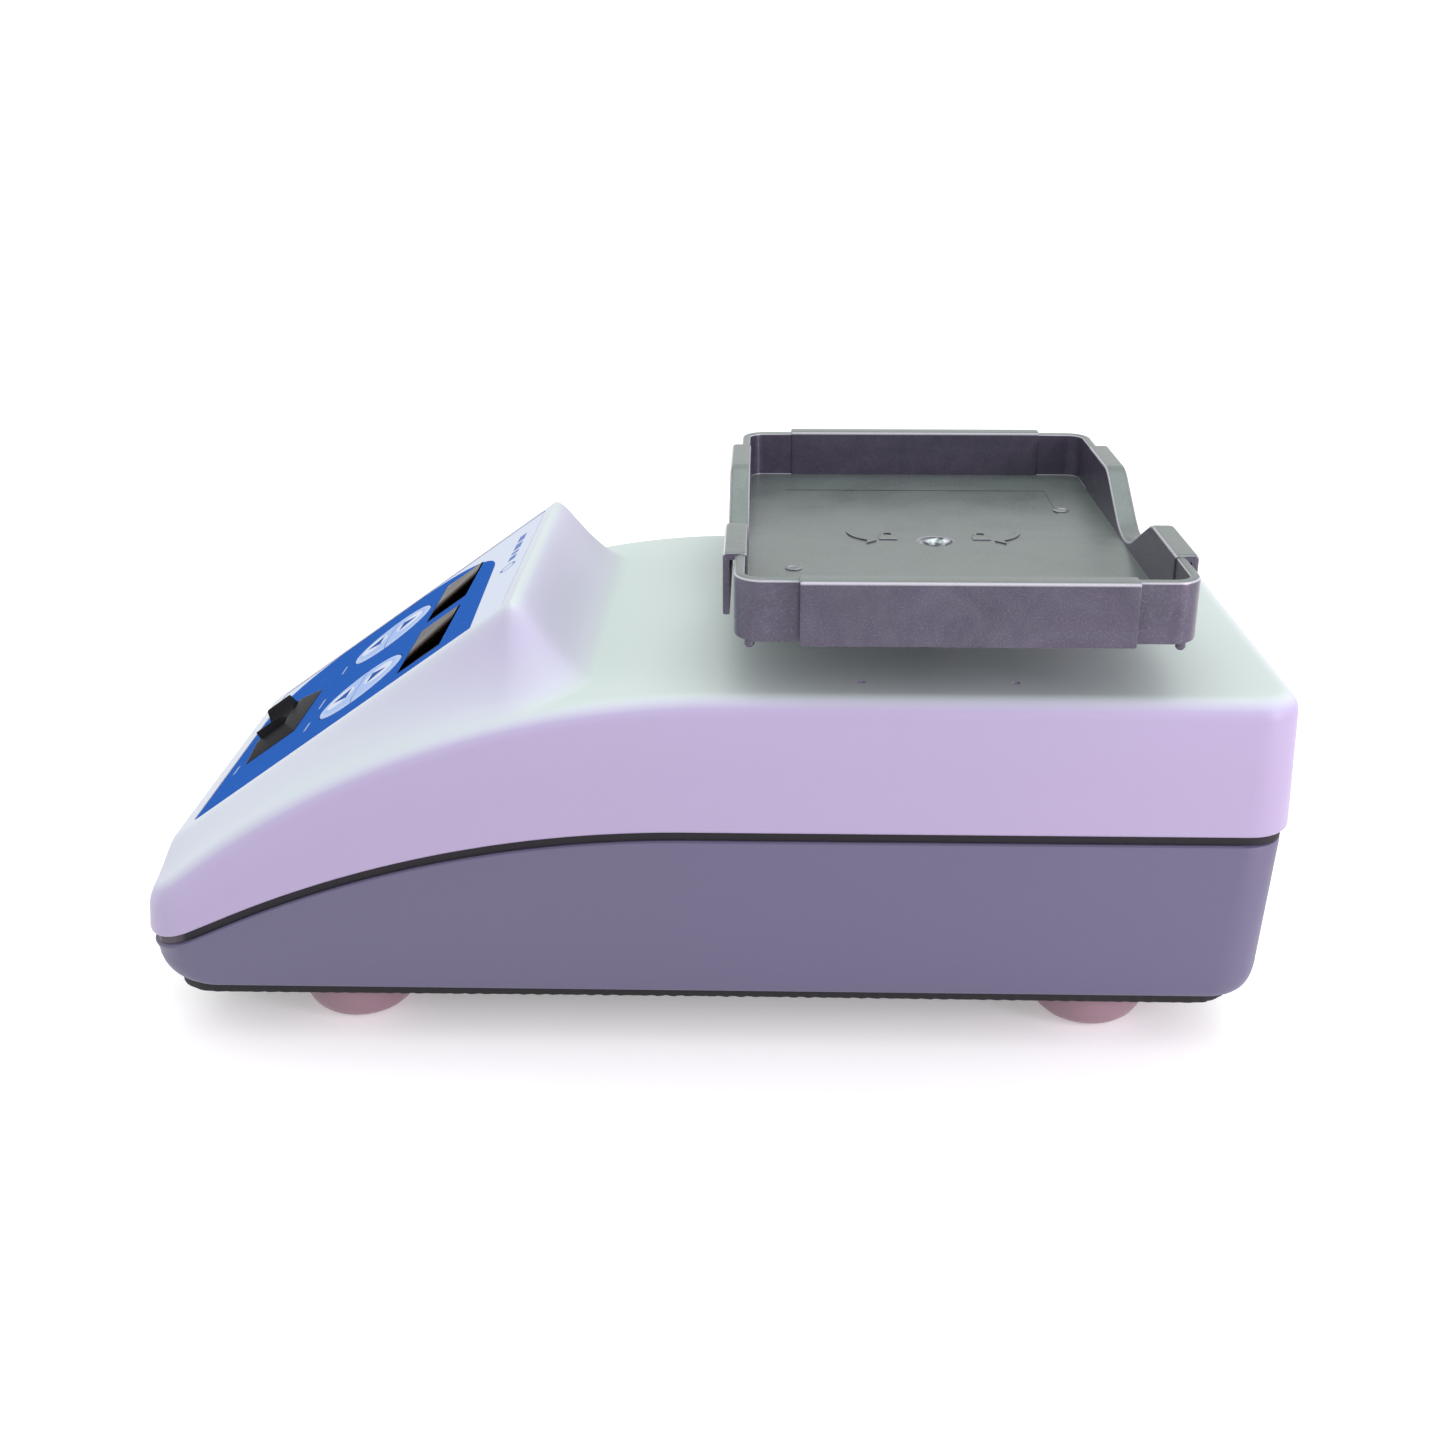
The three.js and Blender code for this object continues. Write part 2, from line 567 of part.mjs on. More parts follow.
for (const [side, y] of [['right', -DRIVE.idlerY], ['left', DRIVE.idlerY]]) {
  const bush = [[2.4, 76.5], [3.5, 76.5], [3.5, 82.75], [5, 82.75], [5, 83.4], [2.4, 83.4], [2.4, 76.5]];
  addPart(`idler_bush_${side}`, toSolid(turned(bush, DRIVE.x, y, 16)), 'bronze');
  const journal = toSolid(rod(2, 76, 84, DRIVE.x, y, 16));
  const disc = toSolid(rod(5, 83.7, 85.6, DRIVE.x, y, 20));
  const pin = toSolid(rod(1.5, 85, 93.6, DRIVE.x + DRIVE.throw, y, 12));
  addPart(`idler_crank_${side}`, join(journal, disc, pin), 'steel');
}

// ---------------------------------------------------------------- tray and its carrier

function buildCarrier() {
  const disc = toSolid(rod(24, 90, TRAY.bottom, TRAY.x, 0, 32));
  const boss = toSolid(rod(11, 86.6, 91, TRAY.x, 0, 24));
  const bores = [toSolid(rod(7.7, 80, 93.2, TRAY.x, 0, 24)), toSolid(rod(1.8, 90, 100, TRAY.x, 0, 12))];
  for (const y of [-DRIVE.idlerY, DRIVE.idlerY]) bores.push(toSolid(rod(2.2, 80, 94.4, TRAY.x, y, 16)));
  return cut(join(disc, boss), ...bores);
}

addPart('tray_carrier', buildCarrier(), 'aluminium');
addPart('tray_bearing', toSolid(ring(3.3, 7.4, 87, 92.2, TRAY.x, 0)), 'steel');

function trayBox(extra, radius, z0, z1) {
  const halfX = TRAY.halfX + extra;
  const halfY = TRAY.halfY + extra;
  return toSolid(roundedPlate(TRAY.x - halfX, TRAY.x + halfX, -halfY, halfY, radius, z0, z1));
}

// A finger notch across both short walls: a round bottom, straight slopes and rounded shoulders.
function notchHeight(y) {
  const { low, lowRadius, slope, lineEnd, rimRadius } = NOTCH;
  const turn = Math.sin(Math.atan(slope));
  const lineStart = lowRadius * turn;
  if (y < lineStart) return low + sag(lowRadius, y);
  const line = low + sag(lowRadius, lineStart) + slope * (Math.min(y, lineEnd) - lineStart);
  const left = rimRadius * turn - Math.max(0, y - lineEnd);
  return line + sag(rimRadius, rimRadius * turn) - sag(rimRadius, left);
}

function notchCutter(lift) {
  const { lineEnd, rimRadius, slope, steps } = NOTCH;
  const half = lineEnd + rimRadius * Math.sin(Math.atan(slope));
  const high = TRAY.rim + 5;
  const shape = new THREE.Shape();
  shape.moveTo(half, high);
  for (let step = steps; step >= -steps; step -= 1) {
    const y = (half * step) / steps;
    shape.lineTo(y, notchHeight(Math.abs(y)) + lift);
  }
  shape.lineTo(-half, high);
  shape.closePath();
  const across = new THREE.Matrix4().makeBasis(
    new THREE.Vector3(0, 1, 0), new THREE.Vector3(0, 0, 1), new THREE.Vector3(1, 0, 0));
  return toSolid(raised(shape, -20, 130, 6).applyMatrix4(across));
}

function buildTray() {
  const { x, bottom, floor, rim, halfX, halfY, wall } = TRAY;
  const top = rim + SKIRT.rise;
  const long = SKIRT.longHalf;
  const short = SKIRT.shortHalf;
  const outX = halfX + wall + SKIRT.out;
  const outY = halfY + wall + SKIRT.out;
  const longSkirts = toSolid(block(x - long, x + long, -outY, outY, bottom, top));
  const shortSkirts = toSolid(block(x - outX, x + outX, -short, short, bottom, top));
  const walls = cut(trayBox(wall, 6, bottom, rim), notchCutter(0));
  let tray = join(walls, longSkirts, cut(shortSkirts, notchCutter(SKIRT.rise)));
  tray = cut(tray, trayBox(0, 3.6, floor, rim + 5));
  const countersink = [[0, 90], [1.9, 90], [1.9, 96.3], [4.9, floor + 0.1], [4.9, 100], [0, 100]];
  tray = cut(tray, toSolid(turned(countersink, x, 0, 24)));
  for (const sideX of [-1, 1]) {
    for (const sideY of [-1, 1]) {
      const stud = rod(1, bottom - 2, bottom + 0.5, x + sideX * (halfX - 1), sideY * (halfY - 1), 10);
      tray = join(tray, toSolid(stud));
    }
  }
  return tray;
}

addPart('plate_tray', buildTray(), 'tray');

const trayScrew = [[0, 93.6], [1.5, 93.6], [1.5, 96.4], [3.9, 97.7], [0, 97.7]];
addPart('tray_screw', toSolid(turned(trayScrew, TRAY.x, 0, 20)), 'steel');

export default shaker;
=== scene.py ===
"""A benchtop microplate shaker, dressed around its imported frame. Metres, +Z up, +X towards the rear."""
import math

import bpy
from mathutils import Matrix, Vector


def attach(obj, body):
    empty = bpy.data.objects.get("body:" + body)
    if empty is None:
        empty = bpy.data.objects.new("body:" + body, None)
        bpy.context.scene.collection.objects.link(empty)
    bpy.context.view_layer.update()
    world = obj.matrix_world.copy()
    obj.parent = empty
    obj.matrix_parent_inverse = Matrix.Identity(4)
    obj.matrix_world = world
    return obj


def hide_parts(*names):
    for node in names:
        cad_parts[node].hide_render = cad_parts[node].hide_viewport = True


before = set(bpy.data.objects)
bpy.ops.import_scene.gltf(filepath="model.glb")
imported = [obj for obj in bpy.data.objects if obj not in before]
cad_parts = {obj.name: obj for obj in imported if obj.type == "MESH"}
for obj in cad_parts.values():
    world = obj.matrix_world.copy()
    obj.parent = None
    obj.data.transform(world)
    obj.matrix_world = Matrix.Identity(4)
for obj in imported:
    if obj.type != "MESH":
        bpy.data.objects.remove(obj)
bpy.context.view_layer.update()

# ------------------------------------------------------------------ camera
# A view from the near side, a little above the tray, with the panel to the left.

camera_data = bpy.data.cameras.new("camera")
camera_data.sensor_width = 36
camera_data.lens = 42.3
camera_data.clip_start = 0.01
camera = bpy.data.objects.new("camera", camera_data)
bpy.context.scene.collection.objects.link(camera)
look_down, turn_left, roll = (math.radians(a) for a in (21.965, 1.467, -0.1))
camera.matrix_world = (
    Matrix.Translation((0.01103, -0.37977, 0.20572))
    @ Matrix.Rotation(turn_left, 4, "Z")
    @ Matrix.Rotation(math.pi / 2 - look_down, 4, "X")
    @ Matrix.Rotation(roll, 4, "Z")
)
bpy.context.scene.camera = camera
bpy.context.scene.view_settings.view_transform = "Standard"

# ------------------------------------------------------------------ material tools
# A socket that can be used in sums, and a material made from what varies over a surface
# and what is the same all over it.


class Shade:
    """A socket in a node tree. Sums on it add Math nodes, and node() adds any other node."""

    def __init__(self, tree, socket=None):
        self.tree = tree
        self.socket = socket

    def node(self, kind, settings=None, inputs=None, output=0):
        made = self.tree.nodes.new(kind)
        for key, value in (settings or {}).items():
            if key == "stops":
                stops = made.color_ramp.elements
                stops[0].color, stops[1].color = value[0][1], value[-1][1]
                stops[0].position, stops[1].position = value[0][0], value[-1][0]
                for position, colour in value[1:-1]:
                    stops.new(position).color = colour
            else:
                setattr(made, key, value)
        for key, value in (inputs or {}).items():
            if isinstance(value, Shade):
                self.tree.links.new(value.socket, made.inputs[key])
            else:
                made.inputs[key].default_value = value
        return Shade(self.tree, made.outputs[output])

    def math(self, operation, *values, clamp=False):
        settings = {"operation": operation, "use_clamp": clamp}
        return self.node("ShaderNodeMath", settings, dict(enumerate(values)))

    def mix(self, low, high):
        """The colour low where this value is 0 and high where it is 1."""
        inputs = {"Factor": self, 6: low, 7: high}
        return self.node("ShaderNodeMix", {"data_type": "RGBA"}, inputs, output=2)

    def between(self, low, high):
        """0 below low, 1 above high, and even between them."""
        inputs = {"Value": self, "From Min": low, "From Max": high}
        return self.node("ShaderNodeMapRange", {"clamp": True}, inputs)

    def split(self):
        """The X, Y and Z of a vector."""
        made = self.tree.nodes.new("ShaderNodeSeparateXYZ")
        self.tree.links.new(self.socket, made.inputs[0])
        return [Shade(self.tree, output) for output in made.outputs]

    def __add__(self, other):
        return self.math("ADD", self, other)

    def __radd__(self, other):
        return self.math("ADD", other, self)

    def __sub__(self, other):
        return self.math("SUBTRACT", self, other)

    def __rsub__(self, other):
        return self.math("SUBTRACT", other, self)

    def __mul__(self, other):
        return self.math("MULTIPLY", self, other)

    def __rmul__(self, other):
        return self.math("MULTIPLY", other, self)


def noise(shade, scale, detail=2.0, roughness=0.5, distortion=0.0, stretch=None):
    """Noise over the object's own place, from 0 to 1. Scale is in features per metre."""
    place = shade.node("ShaderNodeTexCoord", output="Object")
    if stretch:
        place = shade.node("ShaderNodeMapping", {}, {"Vector": place, "Scale": stretch})
    inputs = {"Vector": place, "Scale": scale, "Detail": detail, "Roughness": roughness}
    inputs["Distortion"] = distortion
    return shade.node("ShaderNodeTexNoise", {}, inputs)


def bump(shade, height, distance):
    return shade.node("ShaderNodeBump", {}, {"Strength": 1.0, "Distance": distance, "Height": height})


def finish(name, constants, varying):
    """A material: constants are set on the shader, and varying(shade) returns what is linked to it."""
    material = bpy.data.materials.new(name)
    material.use_nodes = True
    tree = material.node_tree
    shader = tree.nodes["Principled BSDF"]
    for key, value in constants.items():
        shader.inputs[key].default_value = value
    for key, value in varying(Shade(tree)).items():
        tree.links.new(value.socket, shader.inputs[key])
    return material


def moulded(name, colour, roughness, grain=2400, depth=0.000012, shift=0.06, constants=None, painted_light_by_facing=None):
    """Satin moulded plastic: a fine even grain, faint clouding of the colour, and uneven gloss. Tones by
    facing add painted light: one colour for upright faces, others for faces that slope and at last for faces
    that lie level."""
    def varying(shade):
        cloud = noise(shade, 18, 3)
        fine = noise(shade, grain, 1.5)
        base = [*colour, 1]
        if painted_light_by_facing:
            # Painted light: the colour follows the face's upward tilt, with shaded tones on upright faces and
            # lit tones on level ones.
            _, _, upright = shade.node("ShaderNodeNewGeometry", output="Normal").split()
            stops = [(0, base)] + [(position, [*tone, 1]) for position, tone in painted_light_by_facing]
            base = shade.node("ShaderNodeValToRGB", {"stops": stops}, {"Fac": upright})
        shown = {"data_type": "RGBA", "blend_type": "MULTIPLY"}
        tone = (0.6 * cloud + 0.4 * fine).mix([1 - shift] * 3 + [1], [1 + shift] * 3 + [1])
        return {
            "Base Color": shade.node("ShaderNodeMix", shown, {"Factor": 1.0, 6: base, 7: tone}, output=2),
            "Roughness": roughness - 0.05 + 0.06 * cloud + 0.05 * fine,
            "Normal": bump(shade, fine, depth),
        }
    return finish(name, {"Specular IOR Level": 0.4, **(constants or {})}, varying)


# ------------------------------------------------------------------ floor and light
# A plain white floor with a faint glow, in an even white room, and soft boxes for shape: a cool
# one overhead, and pale violet ones in front and at both ends.


def clear_selection():
    bpy.ops.object.select_all(action="DESELECT")


def named(name):
    """Names the object just added, with its mesh, and returns it."""
    piece = bpy.context.object
    piece.name = name
    piece.data.name = name
    return piece


def soft_box(name, place, aim, size, watts, colour):
    light = bpy.data.lights.new(name, "AREA")
    light.shape = "RECTANGLE"
    light.size, light.size_y = size
    light.energy = watts
    light.color = colour
    box = bpy.data.objects.new(name, light)
    bpy.context.scene.collection.objects.link(box)
    box.location = place
    box.rotation_euler = (Vector(aim) - Vector(place)).to_track_quat("-Z", "Y").to_euler()


clear_selection()
bpy.ops.mesh.primitive_plane_add(size=60)
floor = named("floor")
floor.data.materials.append(moulded("floor_white", (0.95, 0.95, 0.95), 0.9, 300, 0.0, 0.004,
                                    {"Emission Color": (1, 1, 1, 1), "Emission Strength": 0.27}))

soft_box("overhead", (0.1, 0.35, 1.1), (0.02, 0, 0.05), (1.0, 0.6), 3.3, (0.88, 1.0, 0.93))
soft_box("front_fill", (0.6, -0.9, 0.4), (0.1, 0, 0.05), (0.5, 0.5), 0.25, (0.93, 0.86, 1.0))
soft_box("left_edge", (-0.8, -0.1, 0.3), (0, 0, 0.05), (0.3, 0.5), 0.15, (1.0, 0.84, 0.98))
soft_box("right_edge", (0.6, -0.42, 0.22), (0.1, 0, 0.05), (0.1, 0.4), 2.2, (1.0, 0.82, 1.0))

world = bpy.data.worlds.new("room")
bpy.context.scene.world = world
world.use_nodes = True
world.node_tree.nodes["Background"].inputs["Color"].default_value = (1, 1, 1, 1)
world.node_tree.nodes["Background"].inputs["Strength"].default_value = 1.0

# ------------------------------------------------------------------ top cover
# The upper shell, injection moulded in light satin plastic. It has a level deck, one long arc
# down to the front, and a podium for the control panel. A lip closes on the lower case.

MM = 0.001
FRONT, REAR, HALF, CORNER = -122.6, 121.2, 63.0, 10.0
DECK_Z, SEAM_Z, DRAFT, EDGE = 82.7, 53.0, 0.8, 4.2
DRIVE_X, IDLER_Y = 48.25, 17
PANEL_X, PANEL_Z, PANEL_SLOPE, PANEL_HALF = -115.8, 43.8, math.radians(35.4), 41.5
PODIUM_FRONT, PODIUM_CREST, PODIUM_FLARE = -119.8, -42.2, 18.0


def sag(radius, along):
    """How far an arc has fallen away from its tangent."""
    return radius - math.sqrt(radius * radius - along * along)


def seam_height(x):
    """The line where the two shells meet: level, a long bend, a straight fall and a toe."""
    start, radius, slope, toe = -5.0, 240.0, 0.45, 29.0
    turn = math.sin(math.atan(slope))
    line_top = start - radius * turn
    line_foot = FRONT + toe * turn
    if x > start:
        return SEAM_Z
    if x > line_top:
        return SEAM_Z - sag(radius, start - x)
    fall = sag(radius, start - line_top) + slope * (line_top - max(x, line_foot))
    if x > line_foot:
        return SEAM_Z - fall
    return SEAM_Z - fall - sag(toe, line_foot - FRONT) + sag(toe, max(0, x - FRONT))


def shoulder_height(x):
    return DECK_Z - sag(187.0, max(0, 4 - x))


def flare(distance):
    """What is left of the podium's height at a distance outside its flat top, from 1 down to 0."""
    fillet, power = 0.12, 1.5
    soft = math.hypot(distance, fillet) - fillet
    full = math.hypot(1, fillet) - fillet
    return max(0, 1 - soft / full) ** power


def cover_top(x, y):
    panel_x = min(max(x, PODIUM_FRONT), PODIUM_CREST)
    rise = PANEL_Z + math.tan(PANEL_SLOPE) * (panel_x - PANEL_X) - shoulder_height(panel_x)
    behind = max(0, x - PODIUM_CREST) / PODIUM_FLARE
    ahead = max(0, PODIUM_FRONT - x) / 2
    beside = max(0, abs(y) - PANEL_HALF) / PODIUM_FLARE
    return shoulder_height(x) + rise * flare(math.hypot(behind, ahead, beside))


def stations():
    """Places along the case, 3 mm apart on the curves, 1 mm at the crest and wide on the deck."""
    places = [-108 + 3 * i for i in range(20)]
    places += [PODIUM_CREST - 5 + i for i in range(26)]
    return places + [-18 + 4 * i for i in range(7)] + [14 + 10.5 * i for i in range(10)]


def plan_ring(front, rear, half, corner, height_at):
    """A rounded rectangle seen from above, from its front right corner round to its front left."""
    steps = 10
    turns = [math.pi / 2 * i / steps for i in range(steps + 1)]
    start, stop = front + corner, rear - corner
    side = [(start - corner * math.cos(a), half - corner + corner * math.sin(a)) for a in turns]
    for x in stations():
        end = start if x < 0 else stop
        beyond = max(0, abs(x) - 80) / 29
        side.append((math.copysign(80, x) * (1 - beyond) + end * beyond if beyond else x, half))
    side += [(stop + corner * math.sin(a), half - corner + corner * math.cos(a)) for a in turns]
    right = [(x, -y, height_at(x, y)) for x, y in side]
    left = [(x, y, height_at(x, y)) for x, y in reversed(side)]
    return right + left


def banded(name, rings, first, last):
    """A mesh with bands of faces between rings of equal length, and the faces of its two ends."""
    count = len(rings[0])
    faces = list(first)
    for level in range(len(rings) - 1):
        low = level * count
        for i in range(count):
            j = (i + 1) % count
            faces.append((low + i, low + j, low + count + j, low + count + i))
    faces += last
    mesh = bpy.data.meshes.new(name)
    mesh.from_pydata([[c * MM for c in point] for ring in rings for point in ring], [], faces)
    piece = bpy.data.objects.new(name, mesh)
    bpy.context.scene.collection.objects.link(piece)
    return piece


def lofted(name, rings):
    """A closed shell through rings, with both ends closed by strips across it."""
    count = len(rings[0])
    top = (len(rings) - 1) * count
    strips = []
    for i in range(count // 2 - 1):
        k = count - 1 - i
        strips.append((top + i, top + i + 1, top + k - 1, top + k))
        strips.append((k, k - 1, i + 1, i))
    return banded(name, rings, [], strips)


def make_active(piece):
    clear_selection()
    piece.select_set(True)
    bpy.context.view_layer.objects.active = piece


def apply_modifier(piece, kind, **settings):
    make_active(piece)
    modifier = piece.modifiers.new(kind.lower(), kind)
    for key, value in settings.items():
        setattr(modifier, key, value)
    bpy.ops.object.modifier_apply(modifier=modifier.name)


def combine(piece, operation, *tools):
    """Cuts the tools from the piece, or joins them to it, and removes them."""
    for tool in tools:
        apply_modifier(piece, "BOOLEAN", object=tool, operation=operation, solver="EXACT")
        bpy.data.objects.remove(tool)
    return piece


def smooth(piece, angle=30):
    make_active(piece)
    bpy.ops.object.shade_smooth_by_angle(angle=math.radians(angle))


def settle(piece):
    """Puts the piece's place into its mesh, so that its object sits at the origin."""
    make_active(piece)
    bpy.ops.object.transform_apply(location=True, rotation=True, scale=True)
    return piece


def rounded_box(name, low, high, edge, segments=3, upright_only=False):
    """A box between two corners in millimetres, with its edges rounded, or only its upright ones."""
    clear_selection()
    middle = [(a + b) / 2 * MM for a, b in zip(low, high)]
    bpy.ops.mesh.primitive_cube_add(size=1, location=middle)
    piece = named(name)
    piece.scale = [(b - a) * MM for a, b in zip(low, high)]
    settle(piece)
    if edge:
        bpy.ops.object.mode_set(mode="EDIT")
        bpy.ops.mesh.select_mode(type="EDGE")
        bpy.ops.mesh.select_all(action="DESELECT")
        bpy.ops.object.mode_set(mode="OBJECT")
        for line in piece.data.edges:
            a, b = (piece.data.vertices[i].co for i in line.vertices)
            line.select = not upright_only or abs(a.z - b.z) > 1e-6
        bpy.ops.object.mode_set(mode="EDIT")
        bpy.ops.mesh.bevel(offset=edge * MM, segments=segments, affect="EDGES")
        bpy.ops.object.mode_set(mode="OBJECT")
    return piece


def post(name, radius, low, high, x=0.0, y=0.0, sides=48):
    clear_selection()
    middle = (x * MM, y * MM, (low + high) / 2 * MM)
    size = {"radius": radius * MM, "depth": (high - low) * MM}
    bpy.ops.mesh.primitive_cylinder_add(vertices=sides, location=middle, **size)
    return settle(named(name))


PANEL_PLACE = Matrix.Translation((PANEL_X * MM, 0, PANEL_Z * MM)) @ Matrix.Rotation(-PANEL_SLOPE, 4, "Y")


def on_panel(piece):
    """Lays a piece drawn flat at the origin, X up the slope and Z out of it, onto the panel."""
    piece.matrix_world = PANEL_PLACE @ piece.matrix_world
    return settle(piece)


def cover_rings(inset, foot):
    """The skin's rings, from the foot up over the rounded shoulder to the strip down its middle."""
    def plan(drawn):
        return (
            FRONT + inset + 0.35 * drawn,
            REAR - inset - drawn,
            HALF - inset - drawn,
            max(1.5, CORNER - inset - drawn),
        )

    rings = list(foot(plan))
    for step in range(9):
        angle = math.pi / 2 * step / 8
        drawn = DRAFT + EDGE * (1 - math.cos(angle))
        lowered = inset + EDGE * (1 - math.sin(angle))
        rings.append(plan_ring(*plan(drawn), lambda x, y: cover_top(x, y) - lowered))
    front, rear, _, corner = plan(DRAFT + EDGE + 1.2)
    for step in range(17):
        half = PANEL_HALF + 14.5 - 14.5 * step / 16
        rings.append(plan_ring(front, rear, half, corner, lambda x, y: cover_top(x, y) - inset))
    return rings


def outer_foot(plan):
    """The lip at the seam, with its edge softened."""
    for drawn, up in ((0.9, 0.0), (0.35, 0.12), (0.08, 0.4), (0.0, 0.9)):
        yield plan_ring(*plan(drawn), lambda x, y: seam_height(x) + up)


def inner_foot(plan):
    yield plan_ring(*plan(0), lambda x, y: seam_height(x) - 6)


# The cover's colours by facing are painted light: lavender shade on the upright sides, a pale painted
# highlight where faces slope, and a cool lit tone on the level deck.
COVER_LILAC = (0.355, 0.297, 0.450)
COVER_PAINTED_LIGHT = ((0.45, (0.42, 0.375, 0.55)), (0.80, (0.555, 0.585, 0.67)), (0.99, (0.575, 0.66, 0.64)))
cover_plastic = moulded("cover_plastic", COVER_LILAC, 0.42, 2600, 0.000010, 0.02, painted_light_by_facing=COVER_PAINTED_LIGHT)
cover = lofted("cover_shell", cover_rings(0, outer_foot))
cover_hollow = lofted("cover_hollow", cover_rings(3, inner_foot))
combine(cover, "DIFFERENCE", cover_hollow)
label_recess = rounded_box("label_recess", (-0.3, -39.8, -1.2), (87.5, 39.8, 8), 1.8, 5, upright_only=True)
combine(cover, "DIFFERENCE", on_panel(label_recess))
combine(cover, "DIFFERENCE", post("drive_opening", 9, 70, 90, DRIVE_X))
for y in (-IDLER_Y, IDLER_Y):
    combine(cover, "DIFFERENCE", post("idler_opening", 3.6, 70, 90, DRIVE_X, y))
for x in (31.3, 63.0):
    for y in (-52, 52):
        combine(cover, "DIFFERENCE", post("deck_dimple", 0.9, DECK_Z - 0.4, DECK_Z + 3, x, y, 24))
cover.data.materials.append(cover_plastic)
smooth(cover, 35)
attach(cover, "housing")
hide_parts("top_cover")

# ------------------------------------------------------------------ lower case
# The lower shell, moulded in slate violet plastic with a rounded bottom edge. Its softened rim
# stands 2 mm under the cover's lip, and its rear wall has a round hole for the power inlet.


def case_rings(inset, floor_z, rim_up):
    """The tub's rings: a rounded foot, nearly upright sides, and a rim that follows the seam."""
    foot = []
    depth, out = 7.2, (5.8, 2.4, 1.3)
    for step in range(8):
        angle = math.pi / 2 * step / 7
        foot.append((depth * (1 - math.cos(angle)), 1 - math.sin(angle)))
    rings = []
    for up, left in foot:
        front, rear, side = (o * left for o in out)
        plan = (-121.8 + inset + front, 118.6 - inset - rear, 61.7 - inset - side, 10)
        rings.append(plan_ring(*plan, lambda x, y: floor_z + up))
    for drawn, down in ((0.0, 0.7), (0.12, 0.3), (0.5, 0.0)):
        plan = (-122 + inset + drawn, 120 - inset - drawn, 62.4 - inset - drawn, 9.5)
        rings.append(plan_ring(*plan, lambda x, y: seam_height(x) - 2.2 - down + rim_up))
    return rings


case_plastic = moulded("case_plastic", (0.113, 0.102, 0.174), 0.46, 2200, 0.000016, 0.05)
case = lofted("case_tub", case_rings(0, 14.2, 0))
combine(case, "DIFFERENCE", lofted("case_hollow", case_rings(2.8, 17, 5)))
INLET_Y, INLET_Z = 22, 33
clear_selection()
bpy.ops.mesh.primitive_cylinder_add(
    vertices=48, radius=5.9 * MM, depth=30 * MM,
    location=(118 * MM, INLET_Y * MM, INLET_Z * MM), rotation=(0, math.pi / 2, 0))
combine(case, "DIFFERENCE", settle(named("inlet_hole")))
case.data.materials.append(case_plastic)
smooth(case, 35)
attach(case, "housing")
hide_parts("lower_case")

# ------------------------------------------------------------------ seam gasket
# A black rubber cord pressed between the two shells. It sits back from both lips, so the seam
# shows as a dark recess, a little paler and ribbed at the nose.


def seam_band(inset, low, high):
    plan = (FRONT + inset, REAR - inset, HALF - inset, 9 - inset)
    return [plan_ring(*plan, lambda x, y: seam_height(x) + z) for z in (low, high)]


def rubber(shade):
    """Black, with the case's pale ribbed tongue showing through at the nose."""
    x, _, _ = shade.node("ShaderNodeTexCoord", output="Object").split()
    ribs = noise(shade, 420, 1, 0.5, 0, (1, 1, 0.12)).between(0.42, 0.58)
    tongue = x.between(-0.1125, -0.1150) * (0.35 + 0.65 * ribs)
    fine = noise(shade, 1800, 2)
    black = fine.mix((0.009, 0.008, 0.011, 1), (0.016, 0.014, 0.018, 1))
    return {
        "Base Color": tongue.mix(black, (0.20, 0.155, 0.205, 1)),
        "Roughness": 0.58 + 0.1 * fine,
        "Normal": bump(shade, fine, 0.00002),
    }


seam_rubber = finish("seam_rubber", {"Specular IOR Level": 0.3}, rubber)
gasket = lofted("gasket", seam_band(1.5, -2.05, -0.15))
combine(gasket, "DIFFERENCE", lofted("gasket_hollow", seam_band(3.4, -3.2, 1.0)))
gasket.data.materials.append(seam_rubber)
smooth(gasket, 35)
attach(gasket, "housing")
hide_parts("seam_gasket")

# ------------------------------------------------------------------ base plate
# A black steel plate under the case, coated with coarse rubber paint, with a cut edge that is
# a little ragged. Four pan-head screws hold it and the case to posts in the cover.

PLATE_LOW, PLATE_HIGH, SEAT_DEPTH = 9.8, 14.2, 2.6
CASE_SCREWS = [(-101, 45), (-101, -45), (104.5, 45), (104.5, -45)]


def ragged_outline(half_rear, half_side, middle, corner):
    """A rounded rectangle's outline in short steps, each point moved in or out by a hair."""
    points = []
    for cx, cy, first in ((1, -1, -90), (1, 1, 0), (-1, 1, 90), (-1, -1, 180)):
        for step in range(13):
            a = math.radians(first + 7.5 * step)
            points.append((middle + cx * (half_rear - corner) + corner * math.cos(a),
                           cy * (half_side - corner) + corner * math.sin(a)))
    outline = []
    for (x0, y0), (x1, y1) in zip(points, points[1:] + points[:1]):
        parts = max(1, round(math.hypot(x1 - x0, y1 - y0) / 0.9))
        for part in range(parts):
            x, y = x0 + (x1 - x0) * part / parts, y0 + (y1 - y0) * part / parts
            rough = 0.16 * math.sin(x * 2.1 + y) + 0.12 * math.sin(x * 5.3 - y * 3.7) - 0.28
            size = math.hypot(x - middle, y)
            outline.append((x + rough * (x - middle) / size, y + rough * y / size))
    return outline


def capped(name, rings):
    """A closed body through rings, with a flat face at each end."""
    count = len(rings[0])
    top = (len(rings) - 1) * count
    return banded(name, rings, [tuple(reversed(range(count)))], [tuple(range(top, top + count))])


def slab(name, outline, low, high, edge=0.5):
    """A flat plate of a given outline, with its upper and lower edges rounded."""
    rings = []
    centre_x = sum(x for x, _ in outline) / len(outline)
    centre_y = sum(y for _, y in outline) / len(outline)
    for z, inward in ((low, edge), (low + edge * 0.3, edge * 0.3), (low + edge, 0), (high - edge, 0),
                      (high - edge * 0.3, edge * 0.3), (high, edge)):
        ring = []
        for x, y in outline:
            size = max(1e-6, math.hypot(x - centre_x, y - centre_y))
            ring.append((x - inward * (x - centre_x) / size, y - inward * (y - centre_y) / size, z))
        rings.append(ring)
    return capped(name, rings)


